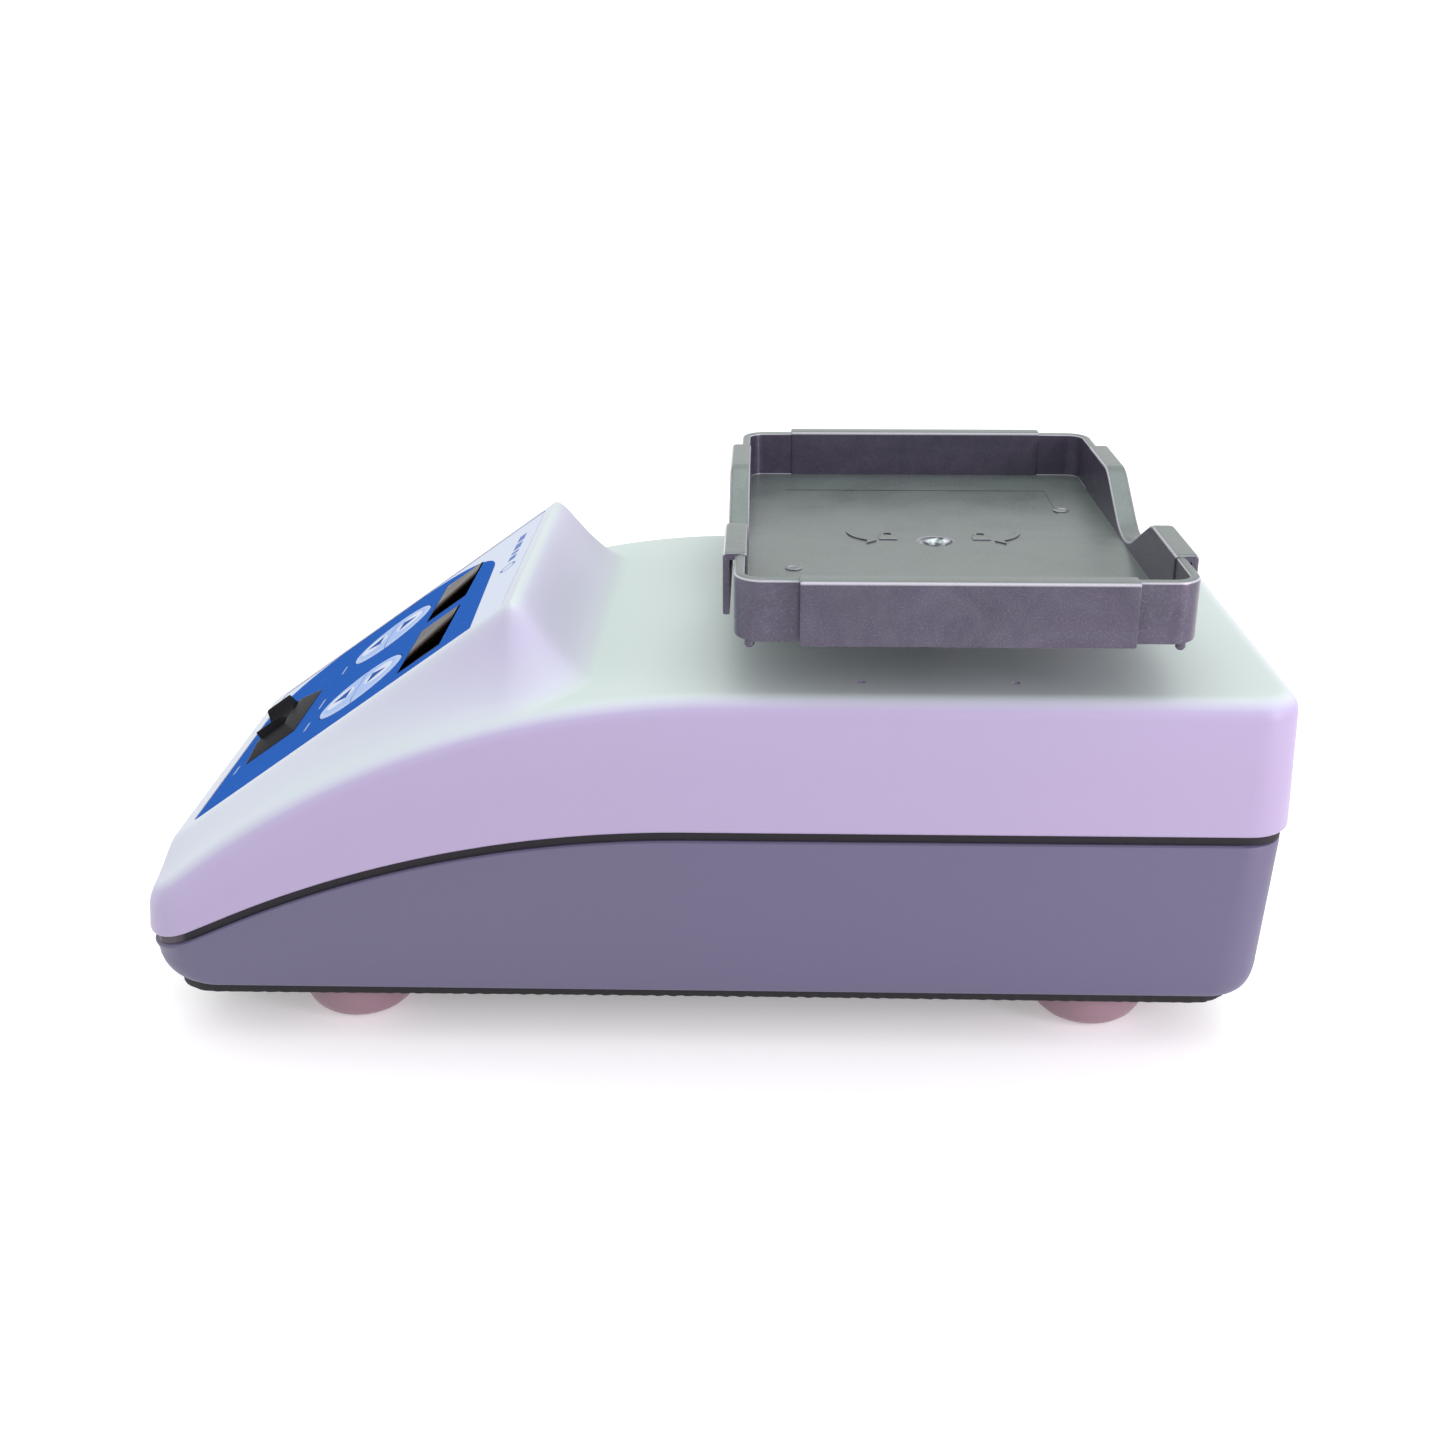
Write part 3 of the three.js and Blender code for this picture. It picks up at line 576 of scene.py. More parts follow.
plate_black = moulded("base_steel", (0.012, 0.011, 0.013), 0.7, 900, 0.00012, 0.35)
plate = slab("plate", ragged_outline(116.6, 56.3, -2.3, 8), PLATE_LOW, PLATE_HIGH, 0.7)
for x, y in CASE_SCREWS:
    combine(plate, "DIFFERENCE", post("screw_seat", 3.6, PLATE_LOW - 1, PLATE_LOW + SEAT_DEPTH, x, y))
    combine(plate, "DIFFERENCE", post("screw_hole", 2, PLATE_LOW, PLATE_HIGH + 1, x, y))
plate.data.materials.append(plate_black)
smooth(plate, 35)
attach(plate, "housing")
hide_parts("base_plate")


def turned(name, profile, x=0.0, y=0.0, steps=64, closed=False):
    """Spins a profile of (radius, height) round an upright axis, as on a lathe."""
    mesh = bpy.data.meshes.new(name)
    count = len(profile)
    edges = [(i, i + 1) for i in range(count - 1)] + ([(count - 1, 0)] if closed else [])
    mesh.from_pydata([((x + r) * MM, y * MM, z * MM) for r, z in profile], edges, [])
    piece = bpy.data.objects.new(name, mesh)
    bpy.context.scene.collection.objects.link(piece)
    make_active(piece)
    bpy.ops.object.mode_set(mode="EDIT")
    bpy.ops.mesh.select_all(action="SELECT")
    bpy.ops.mesh.spin(steps=steps, angle=2 * math.pi, center=(x * MM, y * MM, 0), axis=(0, 0, 1))
    bpy.ops.mesh.select_all(action="SELECT")
    bpy.ops.mesh.remove_doubles(threshold=1e-6)
    bpy.ops.mesh.normals_make_consistent(inside=False)
    bpy.ops.object.mode_set(mode="OBJECT")
    return piece


def metal(name, colour, roughness, scratch=(1, 1, 30), depth=0.000004):
    """Bare metal with fine drawn lines and slightly uneven polish."""
    def varying(shade):
        lines = noise(shade, 260, 3, 0.6, stretch=scratch)
        cloud = noise(shade, 60, 2)
        darker = [c * 0.82 for c in colour] + [1]
        return {
            "Base Color": (0.5 * lines + 0.5 * cloud).mix(darker, list(colour) + [1]),
            "Roughness": roughness - 0.08 + 0.12 * lines + 0.06 * cloud,
            "Normal": bump(shade, lines, depth),
        }
    return finish(name, {"Metallic": 1.0}, varying)


screw_steel = metal("screw_steel", (0.62, 0.62, 0.64), 0.32)
for i, (x, y) in enumerate(CASE_SCREWS):
    seat = PLATE_LOW + SEAT_DEPTH
    low = seat - 2
    head = [(0, low), (2.2, low), (2.9, low + 0.4), (3.1, low + 1), (3.1, seat)]
    shank = [(1.5, seat), (1.5, seat + 18), (0, seat + 18)]
    case_screw = turned(f"case_screw_{i + 1}_steel", head + shank, x, y, 32)
    for wide, deep in ((1.9, 0.35), (0.35, 1.9)):
        slot_low = (x - wide, y - deep, low - 1)
        combine(case_screw, "DIFFERENCE", rounded_box("recess", slot_low, (x + wide, y + deep, low + 1.1), 0))
    case_screw.data.materials.append(screw_steel)
    smooth(case_screw, 35)
    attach(case_screw, "housing")
    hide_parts(f"case_screw_{i + 1}")

# ------------------------------------------------------------------ feet
# Four soft pink silicone suction feet pushed into the base plate, each a shallow cup with two
# rings moulded on its sole.

glow = {"Subsurface Weight": 0.25, "Subsurface Radius": (0.006, 0.003, 0.003), "Subsurface Scale": 1.0}
silicone = moulded("foot_silicone", (0.27, 0.170, 0.205), 0.38, 500, 0.00001, 0.05, glow)
sole = [(0, 1.6), (3.2, 1.4), (4.2, 0.5), (5.0, 0.9), (6.0, 0.2), (6.5, 0), (8.4, 0.25)]
side = [(10.0, 1.2), (11.3, 2.4), (12.2, 3.9), (12.7, 5.4), (12.9, 7.0), (12.9, 9.3), (12.6, 9.8), (0, 9.8)]
for end, x in (("front", -80.5), ("rear", 85)):
    for hand, y in (("right", -41), ("left", 41)):
        foot = turned(f"foot_{end}_{hand}_silicone", sole + side, x, y)
        foot.data.materials.append(silicone)
        smooth(foot, 50)
        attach(foot, "housing")
        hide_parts(f"foot_{end}_{hand}")

# ------------------------------------------------------------------ rear power inlet
# A round low-voltage socket moulded in black, with a centre pin, held by a nut inside the case.

component_black = moulded("component_plastic", (0.018, 0.018, 0.02), 0.42, 1500, 0.000015, 0.2)
outside = [(0, 0), (5.5, 0), (5.5, 12.6), (7.4, 12.6), (7.4, 14.5), (6.9, 15), (4.0, 15)]
bore = [(3.2, 14.4), (3.2, 4), (1, 4), (1, 12.6), (0.6, 13), (0, 13)]
inlet = turned("inlet_socket", outside + bore)
inlet_place = (107.6 * MM, INLET_Y * MM, INLET_Z * MM)
inlet.matrix_world = Matrix.Translation(inlet_place) @ Matrix.Rotation(math.pi / 2, 4, "Y")
settle(inlet)
inlet.data.materials.append(component_black)
smooth(inlet)
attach(inlet, "housing")
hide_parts("power_inlet")

# ------------------------------------------------------------------ control panel label
# A printed polyester film laid in the panel's recess. A blue field with two rounded far corners
# covers most of it, and a white band with a small plain orbit sign is left at the top.


def mask(distance, softness=0.07):
    """1 where a signed distance in millimetres is negative and 0 where it is positive."""
    return distance.between(softness, -softness)


def absolute(value):
    return value.math("ABSOLUTE", value)


def larger(a, b):
    return a.math("MAXIMUM", a, b)


def hypotenuse(a, b):
    return a.math("SQRT", a * a + b * b)


def panel_place(shade):
    """Millimetres up the panel's slope and across it."""
    x, y, z = shade.node("ShaderNodeTexCoord", output="Object").split()
    up = (x * 1000 - PANEL_X) * math.cos(PANEL_SLOPE) + (z * 1000 - PANEL_Z) * math.sin(PANEL_SLOPE)
    return up, y * 1000


def bar(u, y, centre_u, centre_y, half_u, half_y):
    return larger(absolute(u - centre_u) - half_u, absolute(y - centre_y) - half_y)


PRINT_BLUE, PRINT_WHITE, PRINT_PALE = (0.026, 0.108, 0.420, 1), (0.60, 0.64, 0.75, 1), (0.36, 0.47, 0.74, 1)


def label_print(shade):
    u, y = panel_place(shade)
    tilted = u + 0.06 * (y + 14)
    top_corner = hypotenuse(larger(tilted - 49.5, 0.0), larger(y - 11.5, 0.0))
    low_corner = hypotenuse(larger(21 - u, 0.0), larger(y - 18.5, 0.0))
    field = mask(larger(top_corner - 28, low_corner - 21))
    colour = field.mix(PRINT_WHITE, PRINT_BLUE)
    sign = mask(absolute(hypotenuse(u - 82.2, y + 0.5) - 2.0) - 0.35)
    for start, stop in ((5, 9), (10.5, 13), (14.5, 20), (21.5, 27)):
        sign = larger(sign, mask(bar(u, y, 82.3, (start + stop) / 2, 1.1, (stop - start) / 2)))
    colour = (sign * 0.75).mix(colour, PRINT_BLUE)
    ticks = mask(bar(u, y, 27.8, -23.0, 0.35, 2.6))
    for centre_u, centre_y, half_y in ((27.8, -8.5, 3.0), (27.8, 14.5, 2.6), (3.6, -16, 2.4), (3.6, 9, 2.0)):
        ticks = larger(ticks, mask(bar(u, y, centre_u, centre_y, 0.35, half_y)))
    colour = (ticks * 0.55).mix(colour, PRINT_WHITE)
    fleck = noise(shade, 900, 2).between(0.72, 0.80)
    cloud = noise(shade, 40, 3)
    colour = (fleck * 0.3).mix(colour, PRINT_WHITE)
    grain = bump(shade, noise(shade, 1600), 0.000006)
    return {"Base Color": colour, "Roughness": 0.42 + 0.12 * cloud, "Normal": grain}


label_film = finish("label_film", {"Specular IOR Level": 0.0}, label_print)
WINDOWS = {"speed": -19.5, "time": 15.5}
WINDOW_U, WINDOW_HALF_U, WINDOW_HALF_Y = 63.2, 5.75, 14
KEY_OVALS = {"speed": -19.5, "time": 17.0}
KEY_U, KEY_HALF_LENGTH, KEY_HALF_WIDTH = 42.8, 11.8, 10.3
STEM_REACH, FIT = 6.14, 0.3
SWITCH_U, SWITCH_Y, SWITCH_HALF_U, SWITCH_HALF_Y = 14.4, -3.5, 6.7, 12.6


def window_opening(centre, low):
    corner = (WINDOW_U - WINDOW_HALF_U - FIT, centre - WINDOW_HALF_Y - FIT, low)
    opposite = (WINDOW_U + WINDOW_HALF_U + FIT, centre + WINDOW_HALF_Y + FIT, 3)
    return rounded_box("display_opening", corner, opposite, 0)


def key_opening(centre):
    piece = post("key_opening", 10, -3, 3, sides=96)
    piece.scale = ((KEY_HALF_LENGTH + FIT) / 10, (KEY_HALF_WIDTH + FIT) / 10, 1)
    piece.location = (KEY_U * MM, centre * MM, 0)
    return settle(piece)


def switch_opening(low):
    corner = (SWITCH_U - SWITCH_HALF_U, SWITCH_Y - SWITCH_HALF_Y, low)
    opposite = (SWITCH_U + SWITCH_HALF_U, SWITCH_Y + SWITCH_HALF_Y, 3)
    return rounded_box("switch_opening", corner, opposite, 0)


label = rounded_box("label", (0, -39.5, -1.15), (87.2, 39.5, -0.1), 1.5, 6, upright_only=True)
for centre in WINDOWS.values():
    combine(label, "DIFFERENCE", window_opening(centre, -3))
for centre in KEY_OVALS.values():
    combine(label, "DIFFERENCE", key_opening(centre))
combine(label, "DIFFERENCE", switch_opening(-3))
on_panel(label)
label.data.materials.append(label_film)
smooth(label)
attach(label, "housing")
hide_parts("overlay_label")

# The cover is open under the label for the switch, the two displays and the four key stems.

for centre in WINDOWS.values():
    combine(cover, "DIFFERENCE", on_panel(window_opening(centre, -14)))
for centre in KEY_OVALS.values():
    for way in (-1, 1):
        opening = post("stem_opening", 2.5, -14, 3, KEY_U + way * STEM_REACH, centre, 32)
        combine(cover, "DIFFERENCE", on_panel(opening))
combine(cover, "DIFFERENCE", on_panel(switch_opening(-20)))
smooth(cover, 35)

# ------------------------------------------------------------------ display windows
# Two smoked acrylic panes with a polished rounded edge, set flush in the label. Three unlit
# seven-segment figures show faintly through each.


def smoked(centre):
    def varying(shade):
        u, y = panel_place(shade)
        across = absolute(y - centre)
        beside = shade.math("MINIMUM", across, absolute(across - 8.6))
        segment = mask(absolute(beside - 2.2) - 0.45) * mask(absolute(u - WINDOW_U) - 3.8)
        rungs = mask(larger(beside - 2.2, absolute(absolute(u - WINDOW_U) - 3.6) - 0.4))
        middle = mask(larger(beside - 2.2, absolute(u - WINDOW_U) - 0.4))
        shown = larger(larger(segment, rungs), middle)
        # Brown clouding in the colour: partly the pane's smoked tint, partly a painted reflection.
        smoke_and_painted_reflection = noise(shade, 70, 3, 0.55, 0.8, (1, 0.35, 1)).between(0.45, 0.75)
        tint = smoke_and_painted_reflection.mix((0.012, 0.009, 0.008, 1), (0.070, 0.045, 0.036, 1))
        return {
            "Base Color": (shown * 0.5).mix(tint, (0.045, 0.042, 0.042, 1)),
            "Roughness": 0.12 + 0.1 * smoke_and_painted_reflection,
        }
    return varying


SMOKED = {"Metallic": 1.0, "Specular Tint": (0.10, 0.075, 0.065, 1)}
for name, centre in WINDOWS.items():
    low = (WINDOW_U - WINDOW_HALF_U, centre - WINDOW_HALF_Y, -2.6)
    high = (WINDOW_U + WINDOW_HALF_U, centre + WINDOW_HALF_Y, 0.05)
    pane = rounded_box(f"{name}_window_pane", low, high, 0.3)
    on_panel(pane)
    pane.data.materials.append(finish(f"{name}_display_glass", SMOKED, smoked(centre)))
    smooth(pane)
    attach(pane, "housing")
    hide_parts(f"{name}_display_window")

# ------------------------------------------------------------------ keys
# Four soft keys under pale blue film, two to each oval: up towards the top of the panel, down
# towards the bottom. Each has a slightly raised pillow, a printed triangle and a stem below.


def key_print(centre, way):
    def varying(shade):
        u, y = panel_place(shade)
        along = (u - KEY_U) * way - 5.6
        across = absolute(y - centre)
        tall, wide = 5.8, 3.8
        lean = math.hypot(tall, wide)
        flank = (across * tall + (along - tall / 2) * wide) * (1 / lean)
        triangle = larger(0 - along - tall / 2, flank)
        lozenge = (hypotenuse(along * (1 / 3.9), across * (1 / 4.7)) - 1) * 3.9
        edge = ((u - KEY_U) * (1 / KEY_HALF_LENGTH), (y - centre) * (1 / KEY_HALF_WIDTH))
        rim = hypotenuse(*edge).between(0.86, 0.93)
        colour = (rim * 0.35).mix(PRINT_PALE, PRINT_WHITE)
        colour = mask(lozenge).mix(colour, PRINT_WHITE)
        colour = mask(triangle + 0.3).mix(colour, (0.045, 0.11, 0.34, 1))
        return {"Base Color": colour, "Roughness": 0.38 + 0.1 * noise(shade, 60, 3)}
    return varying


pillow = [(0, -0.65), (10, -0.65), (10, -0.1), (9.85, 0.02), (9.4, 0.05), (8.9, 0.1), (8.0, 0.22),
          (7.0, 0.28), (0, 0.3)]
for name, centre in KEY_OVALS.items():
    for word, way in (("up", 1), ("down", -1)):
        key = turned(f"{name}_{word}_key_pad", pillow, steps=96)
        key.scale = (KEY_HALF_LENGTH / 10, KEY_HALF_WIDTH / 10, 1)
        key.location = (KEY_U * MM, centre * MM, 0)
        settle(key)
        bpy.ops.object.mode_set(mode="EDIT")
        bpy.ops.mesh.select_all(action="SELECT")
        parting = ((KEY_U + way * 0.2) * MM, 0, 0)
        bpy.ops.mesh.bisect(plane_co=parting, plane_no=(-way, 0, 0), use_fill=True, clear_outer=True)
        bpy.ops.object.mode_set(mode="OBJECT")
        combine(key, "UNION", post("stem", 2, -4.6, -0.5, KEY_U + way * STEM_REACH, centre, 32))
        on_panel(key)
        film = finish(f"{name}_{word}_key_film", {"Specular IOR Level": 0.0}, key_print(centre, way))
        key.data.materials.append(film)
        smooth(key, 40)
        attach(key, f"{name}_{word}_key")
        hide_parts(f"{name}_{word}_key")

# ------------------------------------------------------------------ power switch
# A snap-in rocker switch moulded in black. Its bezel slopes up from the label to a narrow land, and
# its rocker has an ear at each end and a hollow between, turning on a pin along the slope.

switch_black = moulded("switch_plastic", (0.010, 0.010, 0.012), 0.34, 1700, 0.00002, 0.12,
                       {"Specular IOR Level": 0.06})
WELL_U, WELL_Y, LAND = 3.95, 7.6, 0.4
bezel_low = (SWITCH_U - 7.7, SWITCH_Y - 13.7, -0.05)
bezel = rounded_box("switch_bezel", bezel_low, (SWITCH_U + 7.7, SWITCH_Y + 13.7, 1.9), 0)
for corner in bezel.data.vertices:
    if corner.co.z > MM:
        away_u, away_y = corner.co.x - SWITCH_U * MM, corner.co.y - SWITCH_Y * MM
        corner.co.x = SWITCH_U * MM + math.copysign((WELL_U + LAND) * MM, away_u)
        corner.co.y = SWITCH_Y * MM + math.copysign((WELL_Y + LAND) * MM, away_y)
rounding = {"segments": 3, "limit_method": "ANGLE", "angle_limit": math.radians(10)}
apply_modifier(bezel, "BEVEL", width=0.3 * MM, **rounding)
box_low, box_high = (SWITCH_U - 6.4, SWITCH_Y - 12.3, -16), (SWITCH_U + 6.4, SWITCH_Y + 12.3, 0.4)
combine(bezel, "UNION", rounded_box("switch_body", box_low, box_high, 0))
well_low, well_high = (SWITCH_U - WELL_U, SWITCH_Y - WELL_Y, -7), (SWITCH_U + WELL_U, SWITCH_Y + WELL_Y, 5)
combine(bezel, "DIFFERENCE", rounded_box("switch_well", well_low, well_high, 0))
on_panel(bezel)
bezel.data.materials.append(switch_black)
smooth(bezel)
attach(bezel, "housing")
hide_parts("switch_housing")

half_profile = [(0, 1.75), (1.2, 1.82), (2.4, 2.1), (3.4, 2.6), (4.4, 3.35), (5.2, 4.1), (5.8, 4.6),
                (6.2, 4.75), (6.45, 4.65), (6.6, 4.3), (7.0, 2.2), (6.8, -1.4), (2.6, -3.2)]
PIVOT, REST_TILT = -0.6, math.radians(4.5)
profile = half_profile + [(-y, n) for y, n in reversed(half_profile[1:])]
rocker = slab("rocker_paddle", profile, -3.6, 3.6, 0.3)
rocker.matrix_world = Matrix.Rotation(math.pi / 2, 4, "Z") @ Matrix.Rotation(math.pi / 2, 4, "X")
settle(rocker)
rocker.matrix_world = (
    PANEL_PLACE
    @ Matrix.Translation((SWITCH_U * MM, SWITCH_Y * MM, PIVOT * MM))
    @ Matrix.Rotation(REST_TILT, 4, "X")
)
settle(rocker)
rocker.data.materials.append(switch_black)
smooth(rocker)
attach(rocker, "rocker")
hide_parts("power_rocker")

# ------------------------------------------------------------------ plate tray
# A tray for one microplate, moulded in violet-grey plastic with swirls of metal flake. Skirts
# folded over its rim stand off all four walls, and a finger notch crosses both long ones.

TRAY_X, TRAY_LOW, TRAY_FLOOR, TRAY_RIM, SKIRT_TOP = 50.5, 96.2, 98.0, 109.0, 109.4
POCKET_X, POCKET_Y = 43.25, 64.25


def notch_height(y):
    """The wall's height along a long side: a round notch with straight slopes and soft shoulders."""
    low, low_radius, slope, line_end, rim_radius = 98.75, 22.0, 0.5, 23.0, 14.0
    turn = math.sin(math.atan(slope))
    out, line_start = abs(y), low_radius * turn
    if out < line_start:
        return low + sag(low_radius, out)
    line = low + sag(low_radius, line_start) + slope * (min(out, line_end) - line_start)
    left = min(rim_radius * turn, max(0, line_end + rim_radius * turn - out))
    return min(TRAY_RIM, line + sag(rim_radius, rim_radius * turn) - sag(rim_radius, left))


def tray_ring(out, height_at):
    """A ring standing off the pocket's wall, with close stations along the notches."""
    corner = max(0.6, 3.6 + out)
    inner_x, inner_y = POCKET_X + out - corner, POCKET_Y + out - corner
    along = [-inner_y] + [float(y) for y in range(-31, 32)] + [inner_y]
    ring = []
    for turn in range(4):
        for step in range(1, 10):
            a = math.radians(turn * 90 + step * 9)
            x = math.copysign(inner_x, math.cos(a)) + corner * math.cos(a)
            ring.append((x, math.copysign(inner_y, math.sin(a)) + corner * math.sin(a)))
        if turn % 2:
            flip = -1 if turn == 1 else 1
            ring += [(flip * (POCKET_X + out), flip * y) for y in along]
        else:
            flip = 1 if turn == 0 else -1
            ring += [(flip * x, flip * (POCKET_Y + out)) for x in (inner_x, 0.0, -inner_x)]
    return [(TRAY_X + x, y, height_at(y) if abs(y) < 40 else height_at(40)) for x, y in ring]


def walled(name, rings):
    """A closed body through rings drawn either way round, with its faces turned outwards."""
    piece = capped(name, rings)
    make_active(piece)
    bpy.ops.object.mode_set(mode="EDIT")
    bpy.ops.mesh.select_all(action="SELECT")
    bpy.ops.mesh.normals_make_consistent(inside=False)
    bpy.ops.object.mode_set(mode="OBJECT")
    return piece


def rim(down):
    return lambda y: max(98.45, notch_height(y) - down)


tray = walled("tray_shell", [
    tray_ring(1.7, lambda y: TRAY_LOW),
    tray_ring(1.95, lambda y: TRAY_LOW + 0.15),
    tray_ring(2.1, lambda y: TRAY_LOW + 0.5),
    tray_ring(2.1, rim(0.8)),
    tray_ring(2.02, rim(0.45)),
    tray_ring(1.8, rim(0.16)),
    tray_ring(1.4, rim(0.0)),
    tray_ring(0.7, rim(0.0)),
    tray_ring(0.3, rim(0.12)),
    tray_ring(0.08, rim(0.35)),
    tray_ring(0.0, rim(0.6)),
    tray_ring(0.0, lambda y: TRAY_FLOOR + 0.4),
    tray_ring(-0.15, lambda y: TRAY_FLOOR + 0.1),
    tray_ring(-0.5, lambda y: TRAY_FLOOR),
])


LEG_LOW, END_SKIRT_HALF, SIDE_SKIRT_HALF = 97.2, 32.6, 49.5


def skirt_section(top, e):
    """A skirt cut across: a leg down inside the wall, a rounded cap over it, and a sheet outside.
    Distances are out from the pocket's wall; e draws the outline in at the skirt's two ends."""
    return [
        (-0.3 + e, LEG_LOW), (-0.3 + e, top - 0.9 - e), (-0.2 + e, top - 0.5 - e), (0.05 + e, top - 0.15 - e),
        (0.5, top - e), (3.6, top - e), (4.15 - e, top - 0.12 - e), (4.48 - e, top - 0.45 - e),
        (4.6 - e, top - 0.95 - e), (4.6 - e, TRAY_LOW + 0.4 + e), (4.45 - e, TRAY_LOW + 0.05 + e),
        (4.2 - e, TRAY_LOW + e), (3.35, TRAY_LOW + e), (3.2, TRAY_LOW + 0.2 + e),
        (3.2, top - 1.5), (1.0, top - 1.5), (1.0, LEG_LOW),
    ]


def skirt(name, half_length, place, top_at):
    """The section carried along a wall, about a millimetre at a time, with softened ends."""
    ends = ((0, 0.4), (0.12, 0.15), (0.4, 0.0))
    stops = [(-half_length + along, e) for along, e in ends]
    count = round(half_length * 2)
    stops += [(-half_length + 0.4 + (2 * half_length - 0.8) * i / count, 0.0) for i in range(1, count)]
    stops += [(half_length - along, e) for along, e in reversed(ends)]
    rings = []
    for along, e in stops:
        rings.append([place(out, along, z) for out, z in skirt_section(top_at(along), e)])
    return walled(name, rings)


RISE = SKIRT_TOP - TRAY_RIM
for side in (-1, 1):
    combine(tray, "UNION", skirt("end_skirt", END_SKIRT_HALF,
                                 lambda out, along, z: (TRAY_X + along, side * (POCKET_Y + out), z),
                                 lambda along: SKIRT_TOP))
    combine(tray, "UNION", skirt("side_skirt", SIDE_SKIRT_HALF,
                                 lambda out, along, z: (TRAY_X + side * (POCKET_X + out), along, z),
                                 lambda along: notch_height(along) + RISE))
panel_low, panel_high = (TRAY_X - 34, 23.4, TRAY_FLOOR - 0.15), (TRAY_X + 32, 47.5, TRAY_FLOOR + 2)
combine(tray, "DIFFERENCE", rounded_box("floor_panel", panel_low, panel_high, 0))
for x, y in ((TRAY_X - 33, -22.2), (TRAY_X + 33.2, 27.8)):
    mark = [(0, TRAY_FLOOR - 0.5), (1.9, TRAY_FLOOR - 0.5), (1.9, TRAY_FLOOR + 0.15), (1.6, TRAY_FLOOR + 0.4),
            (1.2, TRAY_FLOOR + 0.4), (0.9, TRAY_FLOOR + 0.1), (0, TRAY_FLOOR + 0.1)]
    combine(tray, "UNION", turned("ejector_mark", mark, x, y, 24))
for side in (-1, 1):
    for end in (-1, 1):
        x, y = TRAY_X + end * (POCKET_X - 1), side * (POCKET_Y - 1)
        stud = [(0, TRAY_LOW - 2), (0.6, TRAY_LOW - 1.9), (1, TRAY_LOW - 1.4), (1, TRAY_LOW + 0.6),
                (0, TRAY_LOW + 0.6)]
        combine(tray, "UNION", turned("stud", stud, x, y, 24))
countersink = [(0, 90), (1.9, 90), (1.9, 96.3), (4.2, 97.75), (4.6, 98.2), (4.6, 99.5), (0, 99.5)]
combine(tray, "DIFFERENCE", turned("countersink", countersink, TRAY_X, 0, 48))

# Raised turning arrows on the floor, one on each side of the screw, each with a small padlock.

SIGN_HIGH, LOCK_OUT = TRAY_FLOOR + 0.35, 10.8
arc = [math.radians(a) for a in range(178, 247, 6)]
middle_x, middle_y = 12.0, 7.4
outer = [(middle_x - 8.3 * math.cos(a), middle_y + 8.3 * math.sin(a)) for a in arc]
inner = [(middle_x - 7.3 * math.cos(a), middle_y + 7.3 * math.sin(a)) for a in reversed(arc)]
ring = [(radius, TRAY_FLOOR + z) for radius, z in ((1.0, -0.2), (1.7, -0.2), (1.7, 0.3), (1.0, 0.3))]
for side in (-1, 1):
    sign = [(TRAY_X + side * x, y) for x, y in outer + [(16.0, -2.6), (13.6, -0.4), (15.4, 1.6)] + inner]
    sign = sign if side < 0 else list(reversed(sign))
    combine(tray, "UNION", slab("turning_arrow", sign, TRAY_FLOOR - 0.2, SIGN_HIGH, 0.1))
    lock_x = TRAY_X + side * LOCK_OUT
    combine(tray, "UNION", turned("lock_loop", ring, lock_x, 4.9, 24, closed=True))
    lock_low, lock_high = (lock_x - 2.1, 0.9, TRAY_FLOOR - 0.2), (lock_x + 2.1, 3.9, SIGN_HIGH)
    combine(tray, "UNION", rounded_box("lock_body", lock_low, lock_high, 0.2))


def flaked(shade):
    """Violet-grey on upright faces and greenish grey on level ones, which is painted light by facing, with a
    painted highlight on its rounded rims.
    """
    flow = noise(shade, 26, 5, 0.62, 2.4, (1, 1, 2.2))
    streak = noise(shade, 60, 4, 0.6, 3.0, (1, 0.35, 1)).between(0.35, 0.8)
    flake = noise(shade, 2600, 1).between(0.5, 0.85)
    _, _, upright = shade.node("ShaderNodeNewGeometry", output="Normal").split()
    # Painted light: shaded violet-grey where faces stand upright, lit greenish grey where they lie level.
    side = flow.mix((0.036, 0.031, 0.052, 1), (0.080, 0.068, 0.112, 1))
    level = flow.mix((0.100, 0.124, 0.118, 1), (0.185, 0.222, 0.208, 1))
    base = upright.between(0.45, 0.95).mix(side, level)
    base = (streak * 0.12).mix(base, (0.26, 0.26, 0.29, 1))
    # Painted highlight: faces that tilt half up, the rounded rims, are painted pale.
    painted_rim_highlight = upright.between(0.15, 0.50) * (1 - upright.between(0.60, 0.88))
    base = (painted_rim_highlight * 0.85).mix(base, (0.62, 0.62, 0.68, 1))
    return {
        "Base Color": (flake * 0.16).mix(base, (0.45, 0.42, 0.50, 1)),
        "Metallic": 0.22 + 0.3 * flake,
        "Roughness": 0.24 + 0.14 * flow - 0.06 * flake,
        "Normal": bump(shade, flake + 0.6 * noise(shade, 900, 2), 0.00002),
    }


tray.data.materials.append(finish("tray_plastic", {"Specular IOR Level": 0.5}, flaked))
smooth(tray, 32)
apply_modifier(tray, "WEIGHTED_NORMAL", keep_sharp=True, weight=90)
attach(tray, "tray")
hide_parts("plate_tray")

# ------------------------------------------------------------------ tray screw and carrier
# A bright countersunk screw with a deep tapered socket, turned down through the tray's floor
# into an aluminium carrier, which is machined as a disc with a boss for the crank's bearing.


def socket_steel(shade):
    """Polished steel with painted shade: its colour darkens down in the socket, where shadow falls."""
    _, _, z = shade.node("ShaderNodeTexCoord", output="Object").split()
    # Painted shade: black below the socket's lip.
    depth = z.between(0.0958, 0.0973)
    # Upright streaks from dark to bright: partly drawn lines, partly painted highlights and reflections down
    # the cone.
    lines = noise(shade, 420, 2, stretch=(1, 1, 0.15)).between(0.42, 0.58)
    colour = lines.mix((0.07, 0.075, 0.085, 1), (0.50, 0.52, 0.56, 1))
    return {"Base Color": depth.mix((0.02, 0.02, 0.025, 1), colour), "Roughness": 0.22 + 0.12 * lines}


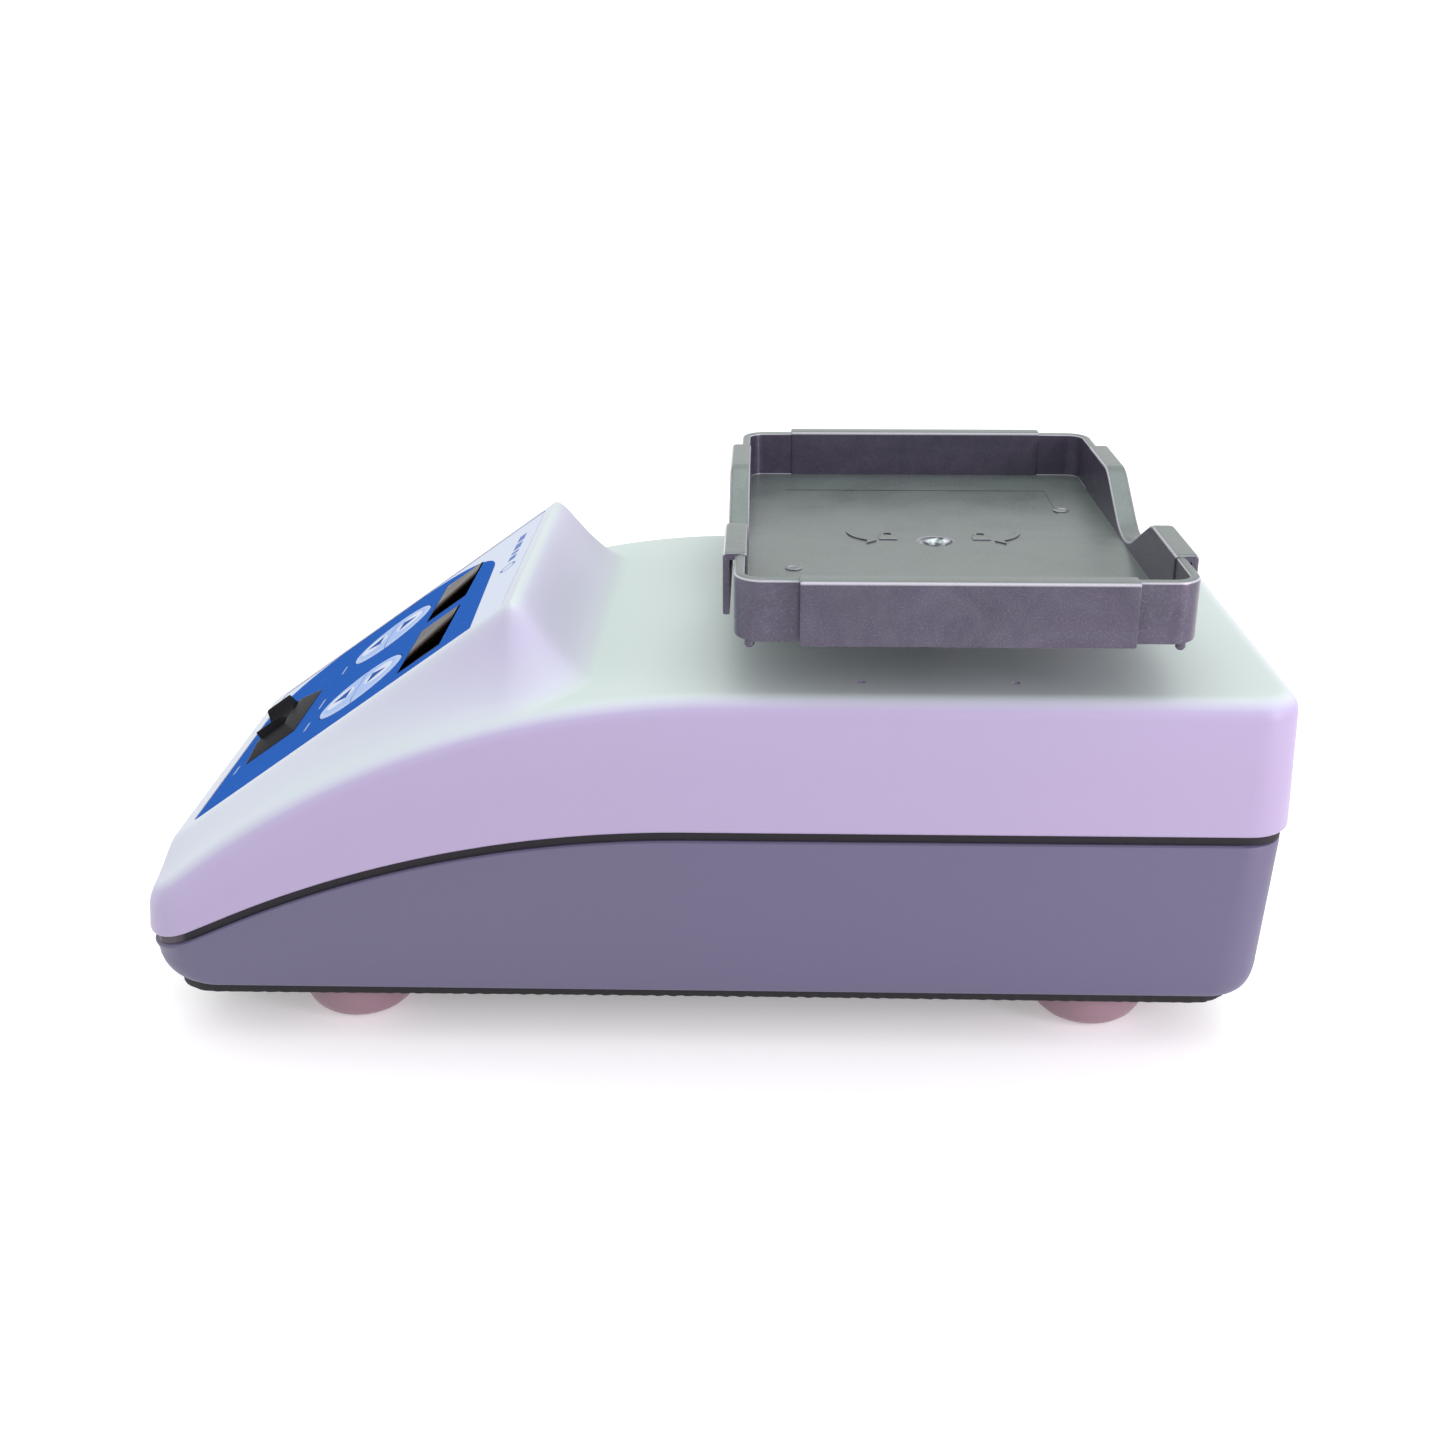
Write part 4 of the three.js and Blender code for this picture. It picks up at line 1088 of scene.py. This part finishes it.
head = [(0, 93.6), (1.5, 93.6), (1.5, 96.4), (4.3, 97.8), (4.0, 97.8), (2.1, 95.0), (1.2, 94.6),
        (0, 94.4)]
tray_screw = turned("tray_screw_head", head, TRAY_X, 0, 12)
tray_screw.data.materials.append(finish("tray_screw_steel", {"Metallic": 1.0}, socket_steel))
smooth(tray_screw, 20)
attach(tray_screw, "tray")
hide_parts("tray_screw")

aluminium = metal("drive_aluminium", (0.70, 0.71, 0.72), 0.36, (1, 30, 1))
boss = [(7.7, 86.6), (10.6, 86.6), (11, 87), (11, 90)]
disc = [(23.5, 90), (24, 90.5), (24, 95.8), (23.6, 96.2), (1.8, 96.2), (1.8, 93.2), (7.7, 93.2)]
carrier = turned("carrier_disc", boss + disc, TRAY_X, 0, 96, closed=True)
for y in (-IDLER_Y, IDLER_Y):
    combine(carrier, "DIFFERENCE", post("pin_bore", 2.2, 80, 94.4, TRAY_X, y, 32))
carrier.data.materials.append(aluminium)
smooth(carrier)
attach(carrier, "tray")
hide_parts("tray_carrier")

# ------------------------------------------------------------------ parts inside the case
# The drive, the display modules and the circuit board keep their own shapes and take a finish each:
# ground steel, cast aluminium, sintered bronze, black mouldings and green board.


def board_green(shade):
    cloud = noise(shade, 120, 4)
    trace = noise(shade, 420, 0, 0.5, 0, (1, 0.08, 1)).between(0.52, 0.56)
    colour = trace.mix((0.010, 0.075, 0.030, 1), (0.020, 0.130, 0.055, 1))
    return {"Base Color": (cloud * 0.3).mix(colour, (0.008, 0.05, 0.02, 1)), "Roughness": 0.3 + 0.1 * cloud}


drive_steel = metal("drive_steel", (0.50, 0.50, 0.52), 0.30)
motor_can = metal("motor_can", (0.42, 0.42, 0.43), 0.34, (1, 1, 8))
bronze = metal("bush_bronze", (0.52, 0.36, 0.18), 0.42, (1, 1, 1))
circuit_board = finish("circuit_board", {"Specular IOR Level": 0.5}, board_green)
FINISHES = {
    "screw_steel": screw_steel,
    "drive_steel": drive_steel,
    "drive_aluminium": aluminium,
    "motor_can": motor_can,
    "bush_bronze": bronze,
    "component_plastic": component_black,
    "circuit_board": circuit_board,
}
inside = {
    "motor_can": ["motor"],
    "bush_bronze": ["idler_bush_left", "idler_bush_right"],
    "drive_aluminium": ["drive_plate", "bearing_housing"],
    "circuit_board": ["control_board"],
    "screw_steel": ["inlet_nut"]
    + [f"{kind}_screw_{i}" for kind in ("board", "drive_plate") for i in (1, 2, 3, 4)],
    "drive_steel": ["shaft_bearing", "tray_bearing", "motor_shaft", "eccentric_hub", "counterweight",
                    "idler_crank_left", "idler_crank_right"],
    "component_plastic": [f"{name}_display_module" for name in WINDOWS]
    + [f"{name}_{word}_tact_switch" for name in WINDOWS for word in ("up", "down")],
}
for slot, nodes in inside.items():
    for node in nodes:
        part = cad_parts[node]
        part.data.materials.clear()
        part.data.materials.append(FINISHES[slot])
